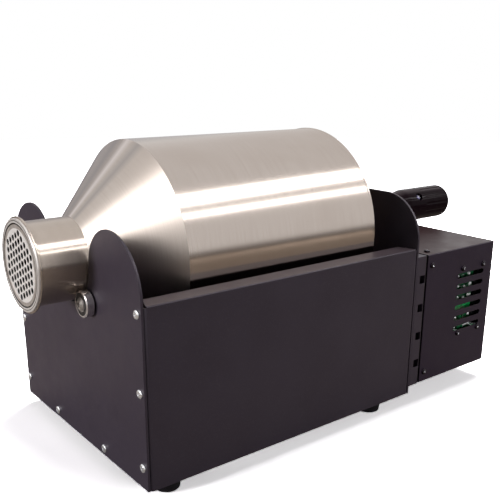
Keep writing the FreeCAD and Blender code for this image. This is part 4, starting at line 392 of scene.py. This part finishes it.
def brushed_steel(name, colour, cloudy, stretch, roughness, lines):
    """Stainless sheet with brush lines round the drum."""
    steel = Finish(name, colour, roughness, 1.0)
    steel.brushed(stretch, roughness)
    steel.mottle(steel.grain(0.00045, (1, 90, 90), 4), cloudy, 0.30, 0.75)
    steel.mottle(steel.grain(0.045, (1.6, 1, 1), 3), cloudy, 0.45, 0.80)
    steel.emboss(steel.grain(0.00035, (1, 120, 120), 3), 0.00002, lines)
    return steel


def cast_metal(name, colour, other, roughness):
    metal = Finish(name, colour, roughness, 1.0)
    metal.mottle(metal.grain(0.004, detail=4), other)
    metal.polish(metal.grain(0.0015, detail=3), roughness - 0.06, roughness + 0.08)
    metal.emboss(metal.grain(0.0012, detail=3), 0.00006, 0.4)
    return metal


def smooth_metal(name, colour, other, roughness):
    metal = Finish(name, colour, roughness, 1.0)
    metal.mottle(metal.grain(0.0030, detail=3), other)
    metal.polish(metal.grain(0.0008, (1, 3, 3), 3), roughness * 0.75, roughness * 1.35)
    return metal


def moulded(name, colour, other, roughness, relief=0.00002, **sockets):
    plastic = Finish(name, colour, roughness, 0.0, **sockets)
    plastic.mottle(plastic.grain(0.006, detail=3), other)
    plastic.polish(plastic.grain(0.0025, detail=3), roughness * 0.8, roughness * 1.25)
    plastic.emboss(plastic.grain(0.0007, detail=2), relief, 0.4)
    return plastic


def board_green():
    """Solder mask over faint tracks, its green painted lighter than the mask's own to stand in for
    the light inside the box.
    """
    board = Finish("green_solder_mask", (0.010, 0.360, 0.085), 0.30, Coat_Weight=0.4)
    board.mottle(board.grain(0.0016, (3.5, 1, 1), 1), (0.022, 0.480, 0.140), 0.50, 0.54)
    board.mottle(board.grain(0.0040, (1, 1, 3.5), 1), (0.006, 0.220, 0.055), 0.60, 0.64)
    low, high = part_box("circuit_board")
    pour = (low.z + high.z) / 2 - POUR_DROP
    board.mottle(board.along("Z"), (0.003, 0.070, 0.022), pour - 0.0003, pour + 0.0003)
    pour -= POUR_STEP
    board.mottle(board.along("Z"), (0.004, 0.110, 0.032), pour + 0.0003, pour - 0.0003)
    board.emboss(board.grain(0.0016, (3.5, 1, 1), 1), 0.00004, 0.5)
    return board


def clear_quartz():
    quartz = Finish("clear_quartz", (0.93, 0.92, 0.90), 0.06, Transmission_Weight=0.85, IOR=1.46)
    quartz.mottle(quartz.grain(0.012, (3, 1, 1), 3), (0.80, 0.79, 0.76))
    quartz.polish(quartz.grain(0.004, (4, 1, 1), 3), 0.04, 0.12)
    return quartz


# Bare metals that scatter part of the light, as worn, oiled or oxidised metal does.
HALF_METALS = {
    "nickel": 0.8, "worn_glint_steel": 0.5, "solder": 0.35, "tinted_neck": 0.88, "mouth_steel": 0.6,
    "punched_steel": 0.6, "roller_steel": 0.75, "bolt_steel": 0.7,
}


def make_finishes():
    """A finish for each material slot of the record, then those of single pieces."""
    finishes = {
        "dark_paint": powder_coat("charcoal_powder_coat", (0.0310, 0.0245, 0.0350),
                                  (0.0350, 0.0280, 0.0395), (0.043, 0.0355, 0.047), 0.36),
        "stainless": brushed_steel("brushed_drum_steel", (0.500, 0.442, 0.402),
                                   (0.455, 0.392, 0.350), 0.75, 0.20, 0.25),
        "nickel": smooth_metal("nickel_plate", (0.92, 0.92, 0.94), (0.80, 0.80, 0.82), 0.16),
        "polished_steel": smooth_metal("bearing_steel", (0.46, 0.445, 0.435),
                                       (0.36, 0.345, 0.335), 0.20),
        "cast_aluminium": cast_metal("cast_aluminium", (0.50, 0.50, 0.51),
                                     (0.40, 0.40, 0.41), 0.40),
        "aluminium_sheet": smooth_metal("bright_aluminium_sheet", (0.70, 0.70, 0.71),
                                        (0.58, 0.58, 0.59), 0.24),
        "black_aluminium": cast_metal("black_anodised", (0.018, 0.018, 0.020),
                                      (0.028, 0.028, 0.031), 0.42),
        "gear_brass": smooth_metal("gear_brass", (0.60, 0.44, 0.17), (0.47, 0.33, 0.12), 0.28),
        "black_steel": smooth_metal("blackened_steel", (0.022, 0.018, 0.022),
                                    (0.014, 0.011, 0.014), 0.15),
        "rubber": moulded("foot_rubber", (0.006, 0.005, 0.006), (0.010, 0.009, 0.011), 0.62,
                          0.00005, Specular_IOR_Level=0.2),
        "seal_rubber": moulded("seal_rubber", (0.016, 0.014, 0.014), (0.028, 0.025, 0.024), 0.48),
        "ceramic": moulded("heater_ceramic", (0.76, 0.74, 0.68), (0.68, 0.65, 0.58), 0.55),
        "black_plastic": moulded("black_moulding", (0.003, 0.0015, 0.002), (0.006, 0.003, 0.004),
                                 0.14, 0.000005, Specular_IOR_Level=0.12),
        "gloss_black": moulded("gloss_black_rocker", (0.010, 0.009, 0.010), (0.014, 0.013, 0.014),
                               0.16, 0.00001),
        "board_green": board_green(),
        "component_grey": moulded("component_grey", (0.42, 0.42, 0.43), (0.34, 0.34, 0.35), 0.40),
        "quartz": clear_quartz(),
    }
    finishes["box_paint"] = powder_coat("box_powder_coat", (0.0165, 0.0105, 0.0215),
                                        (0.0190, 0.0125, 0.0245), (0.026, 0.018, 0.031), 0.29)
    # Painted light from above on the faces that look up, with some dust.
    finishes["box_paint"].top_light_and_dust((0.026, 0.011, 0.012))
    finishes["dark_paint"].top_light_and_dust((0.050, 0.037, 0.043))
    finishes["spacer_paint"] = powder_coat("spacer_powder_coat", (0.0330, 0.0260, 0.0370),
                                           (0.0380, 0.0300, 0.0420), (0.046, 0.037, 0.049), 0.36)
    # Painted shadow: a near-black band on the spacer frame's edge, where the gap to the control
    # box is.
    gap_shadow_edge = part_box("spacer_frame")[1].x - GAP_SHADOW_BAND
    finishes["spacer_paint"].mottle(finishes["spacer_paint"].along("X"), (0.001, 0.001, 0.001),
                                    gap_shadow_edge - 0.0001, gap_shadow_edge + 0.0001)
    finishes["grip_black"] = moulded("polished_black_grip", (0.0075, 0.0030, 0.0050),
                                     (0.0100, 0.0045, 0.0070), 0.10, 0.000003,
                                     Specular_IOR_Level=0.03)
    # Painted highlight along the top of the polished grip.
    finishes["grip_black"].top_light_and_dust((0.060, 0.045, 0.050), 0.80, 1.0)
    # Near-white worn steel: partly wear, partly painted glints in the screws' cross recesses.
    finishes["worn_glint_steel"] = smooth_metal("worn_steel_painted_glint", (0.96, 0.95, 0.98),
                                          (0.86, 0.85, 0.88), 0.22)
    # Dark blue on the handle screw: partly blued steel, partly painted shade of the handle's
    # recess.
    finishes["blue_steel_recess_shade"] = smooth_metal("blue_steel_recess_shade", (0.050, 0.045, 0.085),
                                           (0.035, 0.030, 0.060), 0.12)
    # Painted shadow: the control box's back flange, seen only through the gap beside the spacer
    # frame, is near-black.
    finishes["gap_shadow_black"] = moulded("painted_gap_shadow_black", (0.0015, 0.0010, 0.0015),
                                       (0.003, 0.002, 0.003), 0.60, Specular_IOR_Level=0.02)
    # Near-white tin on the board: partly the solder's own bright tin, partly painted glints.
    finishes["solder"] = moulded("tinned_solder_painted_glint", (0.99, 1.0, 1.0), (0.90, 0.92, 0.94), 0.20)
    finishes["cone_steel"] = brushed_steel("brushed_cone_steel", (0.500, 0.442, 0.402),
                                           (0.455, 0.392, 0.350), 0.32, 0.34, 0.25)
    # Bands of painted reflection on the cone, lighter and darker than its steel.
    for turn, width, shade in CONE_PAINTED_REFLECTIONS:
        finishes["cone_steel"].painted_reflection_streak(turn, width, [shade * c for c in CONE_COLOUR])
    finishes["tinted_neck"] = brushed_steel("heat_tinted_neck_steel", (0.500, 0.432, 0.380),
                                            (0.435, 0.370, 0.320), 0.92, 0.26, 0.20)
    # The neck's bore, inside this radius, is near-black.
    finishes["tinted_neck"].coloured_inside(NECK_RADIUS - 0.0006)
    finishes["mouth_steel"] = brushed_steel("mouth_ring_steel", (0.84, 0.80, 0.78),
                                            (0.70, 0.65, 0.62), 0.3, 0.30, 0.15)
    # Painted shade in the fine groove of the cap's face: a dark ring, then the ring's own colour
    # again inside it.
    finishes["mouth_steel"].coloured_inside(CAP_GROOVE + 0.0003, (0.10, 0.085, 0.075))
    finishes["mouth_steel"].coloured_inside(CAP_GROOVE - 0.0003, (0.84, 0.80, 0.78))
    # Painted shade: near-black inside the cap's step, in the sunk window behind its front face.
    finishes["mouth_steel"].coloured_inside(CAP_STEP + 0.0002)
    finishes["punched_steel"] = smooth_metal("punched_mouth_steel", (0.50, 0.45, 0.42),
                                             (0.38, 0.33, 0.30), 0.42)
    # Painted light: the middle of the perforated disc is near-white, lighter than its steel, and
    # its border stays darker.
    finishes["punched_steel"].coloured_inside(PUNCHED_PAINTED_LIGHT, (0.96, 0.92, 0.90), 0.0004)
    finishes["roller_steel"] = smooth_metal("support_roller_steel", (0.72, 0.68, 0.68),
                                            (0.60, 0.56, 0.56), 0.18)
    finishes["bolt_steel"] = smooth_metal("axle_bolt_steel", (0.40, 0.37, 0.35),
                                          (0.30, 0.27, 0.25), 0.40)
    for name, metallic in HALF_METALS.items():
        finishes[name].set("Metallic", metallic)
    return finishes


# ---------------------------------------------------------------- working on a mesh

def nothing_selected():
    if bpy.context.object and bpy.context.object.mode != "OBJECT":
        bpy.ops.object.mode_set(mode="OBJECT")
    bpy.ops.object.select_all(action="DESELECT")


def take(piece):
    nothing_selected()
    piece.select_set(True)
    bpy.context.view_layer.objects.active = piece


def open_mesh(piece, select="SELECT"):
    take(piece)
    bpy.ops.object.mode_set(mode="EDIT")
    bpy.ops.mesh.select_mode(type="VERT")
    bpy.ops.mesh.select_all(action=select)


def close_mesh():
    bpy.ops.object.mode_set(mode="OBJECT")


def pick_faces(piece, wanted):
    """Select the faces that pass the test, in an open mesh."""
    bpy.ops.mesh.select_all(action="DESELECT")
    mesh = bmesh.from_edit_mesh(piece.data)
    for face in mesh.faces:
        face.select = wanted(face)
    mesh.select_flush_mode()
    bmesh.update_edit_mesh(piece.data)


def apply_modifier(piece, kind, **values):
    take(piece)
    modifier = piece.modifiers.new(kind.lower(), kind)
    for name, value in values.items():
        setattr(modifier, name, value)
    bpy.ops.object.modifier_apply(modifier=modifier.name)


def ease_edges(piece, width, segments=2, angle=40):
    apply_modifier(piece, "BEVEL", width=width, segments=segments, limit_method="ANGLE",
                   angle_limit=math.radians(angle), use_clamp_overlap=False,
                   miter_outer="MITER_ARC", loop_slide=False)


def level_shading(piece):
    """Large flat faces keep their own direction beside small rounded ones."""
    apply_modifier(piece, "WEIGHTED_NORMAL", mode="FACE_AREA", weight=100, keep_sharp=True)


def keep_levels(piece, least=0.00006):
    """The faces of a large level area are shaded flat, right up to its eased edges."""
    levels = {}
    for face in piece.data.polygons:
        axis = max(range(3), key=lambda k: abs(face.normal[k]))
        if abs(face.normal[axis]) > 0.9999:
            key = axis, face.normal[axis] > 0, round(face.center[axis], 5)
            levels.setdefault(key, []).append(face)
    for faces in levels.values():
        if sum(face.area for face in faces) > least:
            for face in faces:
                face.use_smooth = False


def smooth(piece, angle=35):
    take(piece)
    bpy.ops.object.shade_smooth_by_angle(angle=math.radians(angle))


def outward(piece):
    open_mesh(piece)
    bpy.ops.mesh.remove_doubles(threshold=WELD)
    bpy.ops.mesh.normals_make_consistent(inside=False)
    close_mesh()


def turned(name, rings, segments=96, closed=False):
    """A piece turned about Z: a disc or hoop, extruded and scaled from ring to ring."""
    nothing_selected()
    height, radius = rings[0]
    bpy.ops.mesh.primitive_circle_add(vertices=segments, radius=radius, location=(0, 0, height),
                                      fill_type="NOTHING" if closed else "NGON")
    piece = bpy.context.object
    piece.name = piece.data.name = name
    bpy.ops.object.transform_apply(location=True)
    bpy.ops.object.mode_set(mode="EDIT")
    bpy.ops.mesh.select_all(action="SELECT")
    for next_height, next_radius in rings[1:] + (rings[:1] if closed else []):
        bpy.ops.mesh.extrude_region_move(
            TRANSFORM_OT_translate={"value": (0, 0, next_height - height)})
        ratio = next_radius / radius
        bpy.ops.transform.resize(value=(ratio, ratio, 1), center_override=(0, 0, next_height))
        height, radius = next_height, next_radius
    close_mesh()
    outward(piece)
    return piece


def rounded(height, radius, corner, quarter, steps=4):
    """Rings of a rounded edge; quarter counts from the outside low corner, upwards."""
    turn = {"low": (-90, 0), "high": (0, 90)}[quarter]
    middle = height + corner if quarter == "low" else height - corner
    angles = [math.radians(turn[0] + (turn[1] - turn[0]) * step / steps)
              for step in range(steps + 1)]
    return [(middle + corner * math.sin(a), radius - corner + corner * math.cos(a))
            for a in angles]


def lay_along(piece, direction, place, twist=0.0):
    """Turn a finished mesh from +Z to a direction and move it to its place."""
    turn = Vector((0, 0, 1)).rotation_difference(Vector(direction)).to_matrix().to_4x4()
    piece.data.transform(Matrix.Translation(place) @ turn @ Matrix.Rotation(twist, 4, "Z"))
    piece.data.update()


def copy_of(piece, name):
    double = bpy.data.objects.new(name, piece.data.copy())
    bpy.context.collection.objects.link(double)
    return double


def joined(pieces, name):
    nothing_selected()
    for piece in pieces:
        piece.select_set(True)
    bpy.context.view_layer.objects.active = pieces[0]
    if len(pieces) > 1:
        bpy.ops.object.join()
    pieces[0].name = pieces[0].data.name = name
    return pieces[0]


def fit(piece, node, finish, *also):
    """The piece stands for a part: it moves with it and takes its finish."""
    piece.data.materials.clear()
    piece.data.materials.append(FINISHES[finish].material)
    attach(piece, BODY_OF[node])
    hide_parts(node, *also)


def dressed_copy(node, finish, ease=0.0, angle=35):
    """A copy of a part with its triangles joined, its edges eased and its curves smooth."""
    piece = bpy.data.objects.new(node + "_finished", PARTS[node].data.copy())
    bpy.context.collection.objects.link(piece)
    open_mesh(piece)
    if piece.data.has_custom_normals:
        bpy.ops.mesh.customdata_custom_splitnormals_clear()
    bpy.ops.mesh.remove_doubles(threshold=WELD)
    if ease:
        bpy.ops.mesh.dissolve_limited(angle_limit=math.radians(0.5))
    else:
        bpy.ops.mesh.tris_convert_to_quads(face_threshold=math.radians(0.4),
                                           shape_threshold=math.radians(120))
    close_mesh()
    if ease:
        ease_edges(piece, ease)
        apply_modifier(piece, "TRIANGULATE", min_vertices=5, ngon_method="BEAUTY")
    smooth(piece, angle)
    if ease:
        keep_levels(piece)
    else:
        level_shading(piece)
    fit(piece, node, finish)
    return piece


# ---------------------------------------------------------------- drum

def reach(node):
    """Largest radius of a part that is centred on the drum's axis."""
    low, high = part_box(node)
    return (high.y - low.y) / 2


def make_drum():
    """Cylinder with a rolled bead, cone and flanged neck, turned in fine steps."""
    wall, bead, swell, soft, flange_wall = millimetres(1.2, 3.2, 0.8, 0.3, 1.6)
    neck = NECK_RADIUS
    low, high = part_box("drum_cylinder")
    radius = reach("drum_cone")
    rim = []
    for step in range(9):
        share = step / 8
        rim.append((high.x - bead * (1 - share), radius + swell * math.sin(math.pi * share)))
    cylinder = turned("drum_cylinder_shell",
                      [(low.x, radius - wall), (low.x, radius)] + rim
                      + [(high.x, radius - wall)], 192, closed=True)
    place_on_axis(cylinder)
    smooth(cylinder, 50)
    fit(cylinder, "drum_cylinder", "stainless")

    low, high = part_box("drum_cone")
    slant = wall * math.hypot(1, (radius - neck) / (high.x - low.x))
    cone = turned("drum_cone_shell",
                  [(low.x, neck - slant), (low.x, neck), (high.x, radius),
                   (high.x, radius - slant)], 192, closed=True)
    place_on_axis(cone)
    smooth(cone, 40)
    fit(cone, "drum_cone", "cone_steel")

    low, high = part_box("drum_neck")
    flange, back = reach("drum_neck"), low.x + flange_wall
    tube = turned("mouth_neck",
                  [(low.x, neck - wall), (low.x, flange - soft), (low.x + soft, flange),
                   (back - soft, flange), (back, flange - soft), (back, neck + soft),
                   (back + soft, neck), (high.x, neck), (high.x, neck - wall)], 144, closed=True)
    place_on_axis(tube)
    smooth(tube, 40)
    fit(tube, "drum_neck", "tinted_neck")


def place_on_axis(piece):
    """Turn a piece made about Z so that its heights run along X on the drum's axis."""
    piece.data.transform(Matrix.Translation((0, 0, DRUM_AXIS.z))
                         @ Matrix.Rotation(math.pi / 2, 4, "Y"))
    piece.data.update()


def make_mouth():
    """The cap's stepped ring, with a fine round on each edge, and the perforated disc."""
    low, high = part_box("mouth_cap")
    front, rim = low.x, reach("mouth_cap")
    face, sunk, spigot, window, wall, soft = millimetres(1.6, 0.7, 32.45, 31, 1.2, 0.25)
    inner = spigot - wall
    cap = turned("mouth_cap_ring",
                 [(front + sunk, window + soft), (front + sunk + soft, window),
                  (front + face, window), (front + face, inner), (high.x, inner),
                  (high.x, spigot), (front + face, spigot), (front + face, rim),
                  (front + soft, rim), (front, rim - soft), (front, CAP_GROOVE + soft),
                  (front + soft, CAP_GROOVE), (front, CAP_GROOVE - soft), (front, CAP_STEP + soft),
                  (front + soft, CAP_STEP), (front + sunk, CAP_STEP)], 144, closed=True)
    place_on_axis(cap)
    smooth(cap, 40)
    fit(cap, "mouth_cap", "mouth_steel")
    widen_holes(dressed_copy("mouth_mesh", "punched_steel"))


def widen_holes(disc):
    """Turn the rows of holes on the disc and open each hole round its own centre."""
    hub = Matrix.Translation(DRUM_AXIS)
    disc.data.transform(hub @ Matrix.Rotation(MOUTH_HOLE_TURN, 4, "X") @ hub.inverted())
    edge = reach("mouth_mesh") - 0.001
    mesh = bmesh.new()
    mesh.from_mesh(disc.data)
    walls = [face for face in mesh.faces if abs(face.normal.x) < 0.5
             and (face.calc_center_median() - DRUM_AXIS).yz.length < edge]
    left = set(walls)
    for start in walls:
        if start not in left:
            continue
        left.discard(start)
        hole, waiting = {}, [start]
        while waiting:
            face = waiting.pop()
            hole.update(dict.fromkeys(face.verts))
            for side in [f for e in face.edges for f in e.link_faces if f in left]:
                left.discard(side)
                waiting.append(side)
        centre = sum((v.co for v in hole), Vector()) / len(hole)
        for v in hole:
            v.co.yz = centre.yz + (v.co.yz - centre.yz) * MOUTH_HOLE_GROWTH
    mesh.to_mesh(disc.data)
    mesh.free()


# ---------------------------------------------------------------- screws

def islands(node):
    """The points of each separate solid of a part, in the order of the part's own points."""
    mesh = bmesh.new()
    mesh.from_mesh(PARTS[node].data)
    bmesh.ops.remove_doubles(mesh, verts=mesh.verts, dist=WELD)
    met, found = set(), []
    for start in mesh.verts:
        if start in met:
            continue
        met.add(start)
        heap, group = [start], []
        while heap:
            point = heap.pop()
            group.append(point.co.copy())
            for edge in point.link_edges:
                other = edge.other_vert(point)
                if other not in met:
                    met.add(other)
                    heap.append(other)
        found.append(group)
    mesh.free()
    return found


def corners_of(group):
    return (Vector([min(p[k] for p in group) for k in range(3)]),
            Vector([max(p[k] for p in group) for k in range(3)]))


def loose_screws(node):
    """Head side, seat point, length and head size of each screw in a part."""
    found = []
    for group in islands(node):
        lows, highs = corners_of(group)
        size, middle = highs - lows, (lows + highs) / 2
        axis = min(range(3), key=lambda k: abs(size[k - 1] - size[k - 2]))
        head = max(size[axis - 1], size[axis - 2]) / 2
        across = [Vector([p[k] - middle[k] if k != axis else 0 for k in range(3)]).length
                  for p in group]
        wide = [p[axis] for p, r in zip(group, across) if r > 0.97 * head]
        side = 1 if sum(wide) / len(wide) > middle[axis] else -1
        seat = min(side * w for w in wide)
        along = [side * p[axis] for p in group]
        direction = Vector([side if k == axis else 0 for k in range(3)])
        foot = Vector(middle)
        foot[axis] = side * seat
        found.append((direction, foot, seat - min(along), head, max(along) - seat))
    return found


def cross_head_screw(name, shank, length, head, height):
    """A pan-head screw along Z with its seat at the origin and a cross recess."""
    rings = [(-length, shank * 0.75), (-length + shank * 0.4, shank), (0, shank), (0, head * 0.97),
             (height * 0.06, head)]
    rim = height * 0.32
    for step in range(7):
        a = math.radians(15 * step)
        rings.append((rim + (height - rim) * math.sin(a) ** 0.9,
                      head * (0.36 + 0.64 * math.cos(a))))
    rings.append((height, head * 0.12))
    screw = turned(name, rings, 40)
    for turn in (0, math.pi / 2):
        nothing_selected()
        bpy.ops.mesh.primitive_cube_add(size=1, location=(0, 0, height))
        blade = bpy.context.object
        bpy.ops.object.mode_set(mode="EDIT")
        bpy.ops.transform.resize(value=(head * 1.15, head * 0.24, height * 1.15),
                                 center_override=(0, 0, height))
        pick_faces(blade, lambda face: face.normal.z < -0.5)
        bpy.ops.transform.resize(value=(0.45, 0.6, 1), center_override=(0, 0, 0))
        close_mesh()
        blade.data.transform(Matrix.Rotation(turn, 4, "Z"))
        apply_modifier(screw, "BOOLEAN", object=blade, operation="DIFFERENCE", solver="EXACT")
        bpy.data.objects.remove(blade)
    smooth(screw, 32)
    return screw


def worn_recess_and_glint(screw, finish, head, height):
    """Bare metal in the cross recess, where the driver turns, near-white so that it also shows as
    painted glints on the heads.
    """
    screw.data.materials.clear()
    for name in (finish, "worn_glint_steel"):
        screw.data.materials.append(FINISHES[name].material)
    for face in screw.data.polygons:
        x, y, z = face.center
        face.material_index = int(0 < z < 0.88 * height and math.hypot(x, y) < 0.62 * head)


def stand_for(piece, node):
    """The piece, with finishes of its own, moves with a part and stands for it."""
    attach(piece, BODY_OF[node])
    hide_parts(node)


def make_screws(node, finish, name, shank):
    """The same screw at each place where the part has one, each turned its own way."""
    places = loose_screws(node)
    _, _, length, head, height = places[0]
    pattern = cross_head_screw(name + "_pattern", shank, length, head, height)
    worn_recess_and_glint(pattern, finish, head, height)
    chance = random.Random(len(places))
    screws = []
    for count, (direction, foot, _, _, _) in enumerate(places):
        screw = copy_of(pattern, f"{name}_{count}")
        lay_along(screw, direction, foot, chance.uniform(0, math.pi))
        screws.append(screw)
    bpy.data.objects.remove(pattern)
    stand_for(joined(screws, name), node)


def make_handle_screw():
    """A tall pan-head screw in the handle's recess, across the drum's axis."""
    points = islands("handle_screw")[0]
    low, high = corners_of(points)
    middle = Vector(((low.x + high.x) / 2, DRUM_AXIS.y, DRUM_AXIS.z))
    direction = ((low + high) / 2 - middle).normalized()
    along = [(p - middle).dot(direction) for p in points]
    head = (high.x - low.x) / 2 * HANDLE_SCREW_GROWTH
    out = [((p - middle) - a * direction).length for p, a in zip(points, along)]
    seat = min(a for a, r in zip(along, out) if r > 0.7 * head)
    screw = cross_head_screw("handle_cross_screw", 0.0015, seat - min(along), head,
                             HANDLE_SCREW_RISE)
    worn_recess_and_glint(screw, "blue_steel_recess_shade", head, HANDLE_SCREW_RISE)
    lay_along(screw, direction, middle + seat * direction, 0.5)
    stand_for(screw, "handle_screw")


# ---------------------------------------------------------------- circuit board

def block(name, low, high, ease=0.0003):
    """A moulded block between two corners, its edges eased."""
    nothing_selected()
    middle = (Vector(low) + Vector(high)) / 2
    bpy.ops.mesh.primitive_cube_add(size=1, location=middle)
    piece = bpy.context.object
    piece.name = piece.data.name = name
    bpy.ops.object.mode_set(mode="EDIT")
    size = Vector(high) - Vector(low)
    bpy.ops.transform.resize(value=size, center_override=middle)
    close_mesh()
    bpy.ops.object.transform_apply(location=True)
    ease_edges(piece, ease)
    return piece


def solder_joint(x, z, radius, height, face):
    """A drop of solder on the board's front face."""
    drop = turned("solder_joint", [(-0.0002, radius), (height * 0.35, radius * 0.92),
                                   (height * 0.75, radius * 0.6), (height, radius * 0.2)], 16)
    smooth(drop, 60)
    lay_along(drop, (0, -1, 0), (x, face, z))
    return drop


def chip(low, high, bodies):
    """A small part soldered flat on the board: a slim body between two ends."""
    cap = (high.x - low.x) * 0.30
    bodies.append(block("chip_body", (low.x + cap * 0.8, low.y + 0.0002, low.z + 0.0002),
                        (high.x - cap * 0.8, high.y, high.z - 0.0002)))
    bodies.append(block("chip_end", low, (low.x + cap, high.y, high.z)))
    bodies.append(block("chip_end", (high.x - cap, low.y, low.z), high))


def can(low, high, bodies):
    """An upright round capacitor with a crimped edge."""
    radius = min(high.x - low.x, high.z - low.z) / 2
    height = high.y - low.y
    body = turned("capacitor_can",
                  rounded(0, radius, 0.0004, "low") + [(height * 0.70, radius)]
                  + [(height * 0.76, radius * 0.93), (height * 0.82, radius)]
                  + rounded(height, radius, 0.0004, "high"), 32)
    smooth(body, 40)
    lay_along(body, (0, -1, 0), ((low.x + high.x) / 2, high.y, (low.z + high.z) / 2))
    bodies.append(body)


# Across and up from the middle of the board, and radius, in millimetres.
SOLDER_JOINTS = (
    (-8.9, 22.3, 1.5), (-1.5, 22.1, 1.5), (7.8, 23.0, 2.3),
    (-8.3, 11.5, 1.7), (-2.3, 11.9, 1.4), (5.9, 12.6, 1.8), (12.0, 12.2, 1.8),
    (-7.5, -0.6, 1.5), (-2.4, -0.4, 1.5), (6.0, 0.6, 1.7), (9.6, 0.7, 1.3),
    (-8.5, -22.8, 2.0), (12.8, -22.0, 2.0), (-9.0, -33.5, 1.2),
)


def make_board():
    """Parts and solder on the board behind the vent slots."""
    low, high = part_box("circuit_board")
    face = low.y
    middle = (low + high) / 2
    dressed_copy("circuit_board", "board_green", 0.0001)
    dark, bright, tops = [], [], []
    for group in islands("board_components"):
        lows, highs = corners_of(group)
        tops.append((lows, highs))
        width, height = highs.x - lows.x, highs.z - lows.z
        if height > 1.2 * width:
            dark.append(block("driver_chip", lows, highs))
        elif highs.y - lows.y > 0.0033:
            can(lows, highs, dark)
        else:
            chip(lows, highs, dark)
    for x, z, radius in SOLDER_JOINTS:
        x, z, radius = millimetres(x, z, radius)
        x, z = middle.x + x, middle.z + z
        seat = min([lows.y for lows, highs in tops
                    if lows.x < x < highs.x and lows.z < z < highs.z] + [face])
        bright.append(solder_joint(x, z, radius, radius * 0.9, seat))
    start, end, under, over = millimetres(3, 16.5, 35.2, 33.4)
    strap = block("earth_strap", (middle.x + start, face - 0.0010, middle.z - under),
                  (middle.x + end, face + 0.0001, middle.z - over))
    hinge = Matrix.Translation((middle.x + start, 0, middle.z - under))
    strap.data.transform(hinge @ Matrix.Rotation(math.radians(-9), 4, "Y") @ hinge.inverted())
    bright.append(strap)
    fit(joined(bright, "tinned_board_parts"), "board_components", "solder")
    chips = joined(dark, "board_chips")
    chips.data.materials.clear()
    chips.data.materials.append(FINISHES["board_green"].material)
    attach(chips, "base")


# ---------------------------------------------------------------- all pieces

EASED_PLATES = {
    "left_end_plate": 0.00045, "right_end_plate": 0.00045, "front_panel": 0.00040,
    "back_panel": 0.00040, "floor_plate": 0.0003, "spacer_frame": 0.0003,
    "control_back": 0.0003, "control_cover": 0.00025,
}
OWN_FINISH = {
    "control_cover": "box_paint", "control_back": "gap_shadow_black", "handle_grip": "grip_black",
    "board_standoffs": "nickel", "support_axle_bolts": "bolt_steel",
    "spacer_frame": "spacer_paint",
    "front_bearing_ring": "roller_steel", "rear_bearing_ring": "roller_steel",
    "support_bearing_cores": "roller_steel",
}
SMOOTHED = (
    "rubber_feet", "bearing_collar", "box_bolts", "drum_end_disc", "drum_gear", "drum_shaft",
    "front_bearing_ring", "rear_bearing_ring", "front_bearing_seal", "rear_bearing_seal",
    "gearbox", "handle_grip", "heat_control", "heat_knob", "heat_spindle",
    "heater_brackets", "heater_ceramic_ends", "heater_tubes", "hub_screws", "motor_can",
    "motor_pinion", "motor_shaft", "motor_shaft_bush", "shaft_bearing_inner_ring",
    "shaft_bearing_outer_ring", "shaft_bearing_seal", "shaft_hub", "shaft_stop_collar",
    "support_axle_bolts", "support_axle_nuts", "support_bearing_cores",
    "support_bearing_spacers", "thermal_cutout", "board_standoffs",
)


def main():
    """Finish the solids, then replace those that need finer detail."""
    for row in RECORD.get("subparts", []) or []:
        SLOT_OF[row["node"]] = row["material_slot"]
    for node, part in PARTS.items():
        finish = FINISHES[SLOT_OF[node]].material
        if part.material_slots:
            for held in part.material_slots:
                held.material = finish
        else:
            part.data.materials.append(finish)
    make_drum()
    make_mouth()
    for node, ease in EASED_PLATES.items():
        dressed_copy(node, OWN_FINISH.get(node, SLOT_OF[node]), ease)
    for node in SMOOTHED:
        dressed_copy(node, OWN_FINISH.get(node, SLOT_OF[node]),
                     angle=20 if node == "support_axle_bolts" else 35)
    make_screws("base_screws", "nickel", "base_cross_screws", 0.0018)
    make_screws("small_screws", "black_steel", "box_cross_screws", 0.0015)
    make_handle_screw()
    make_board()


bpy.context.scene.view_settings.view_transform = "Standard"
make_camera()
make_surroundings()
make_lamps()
make_floor()
FINISHES = make_finishes()
main()

bpy.context.view_layer.update()
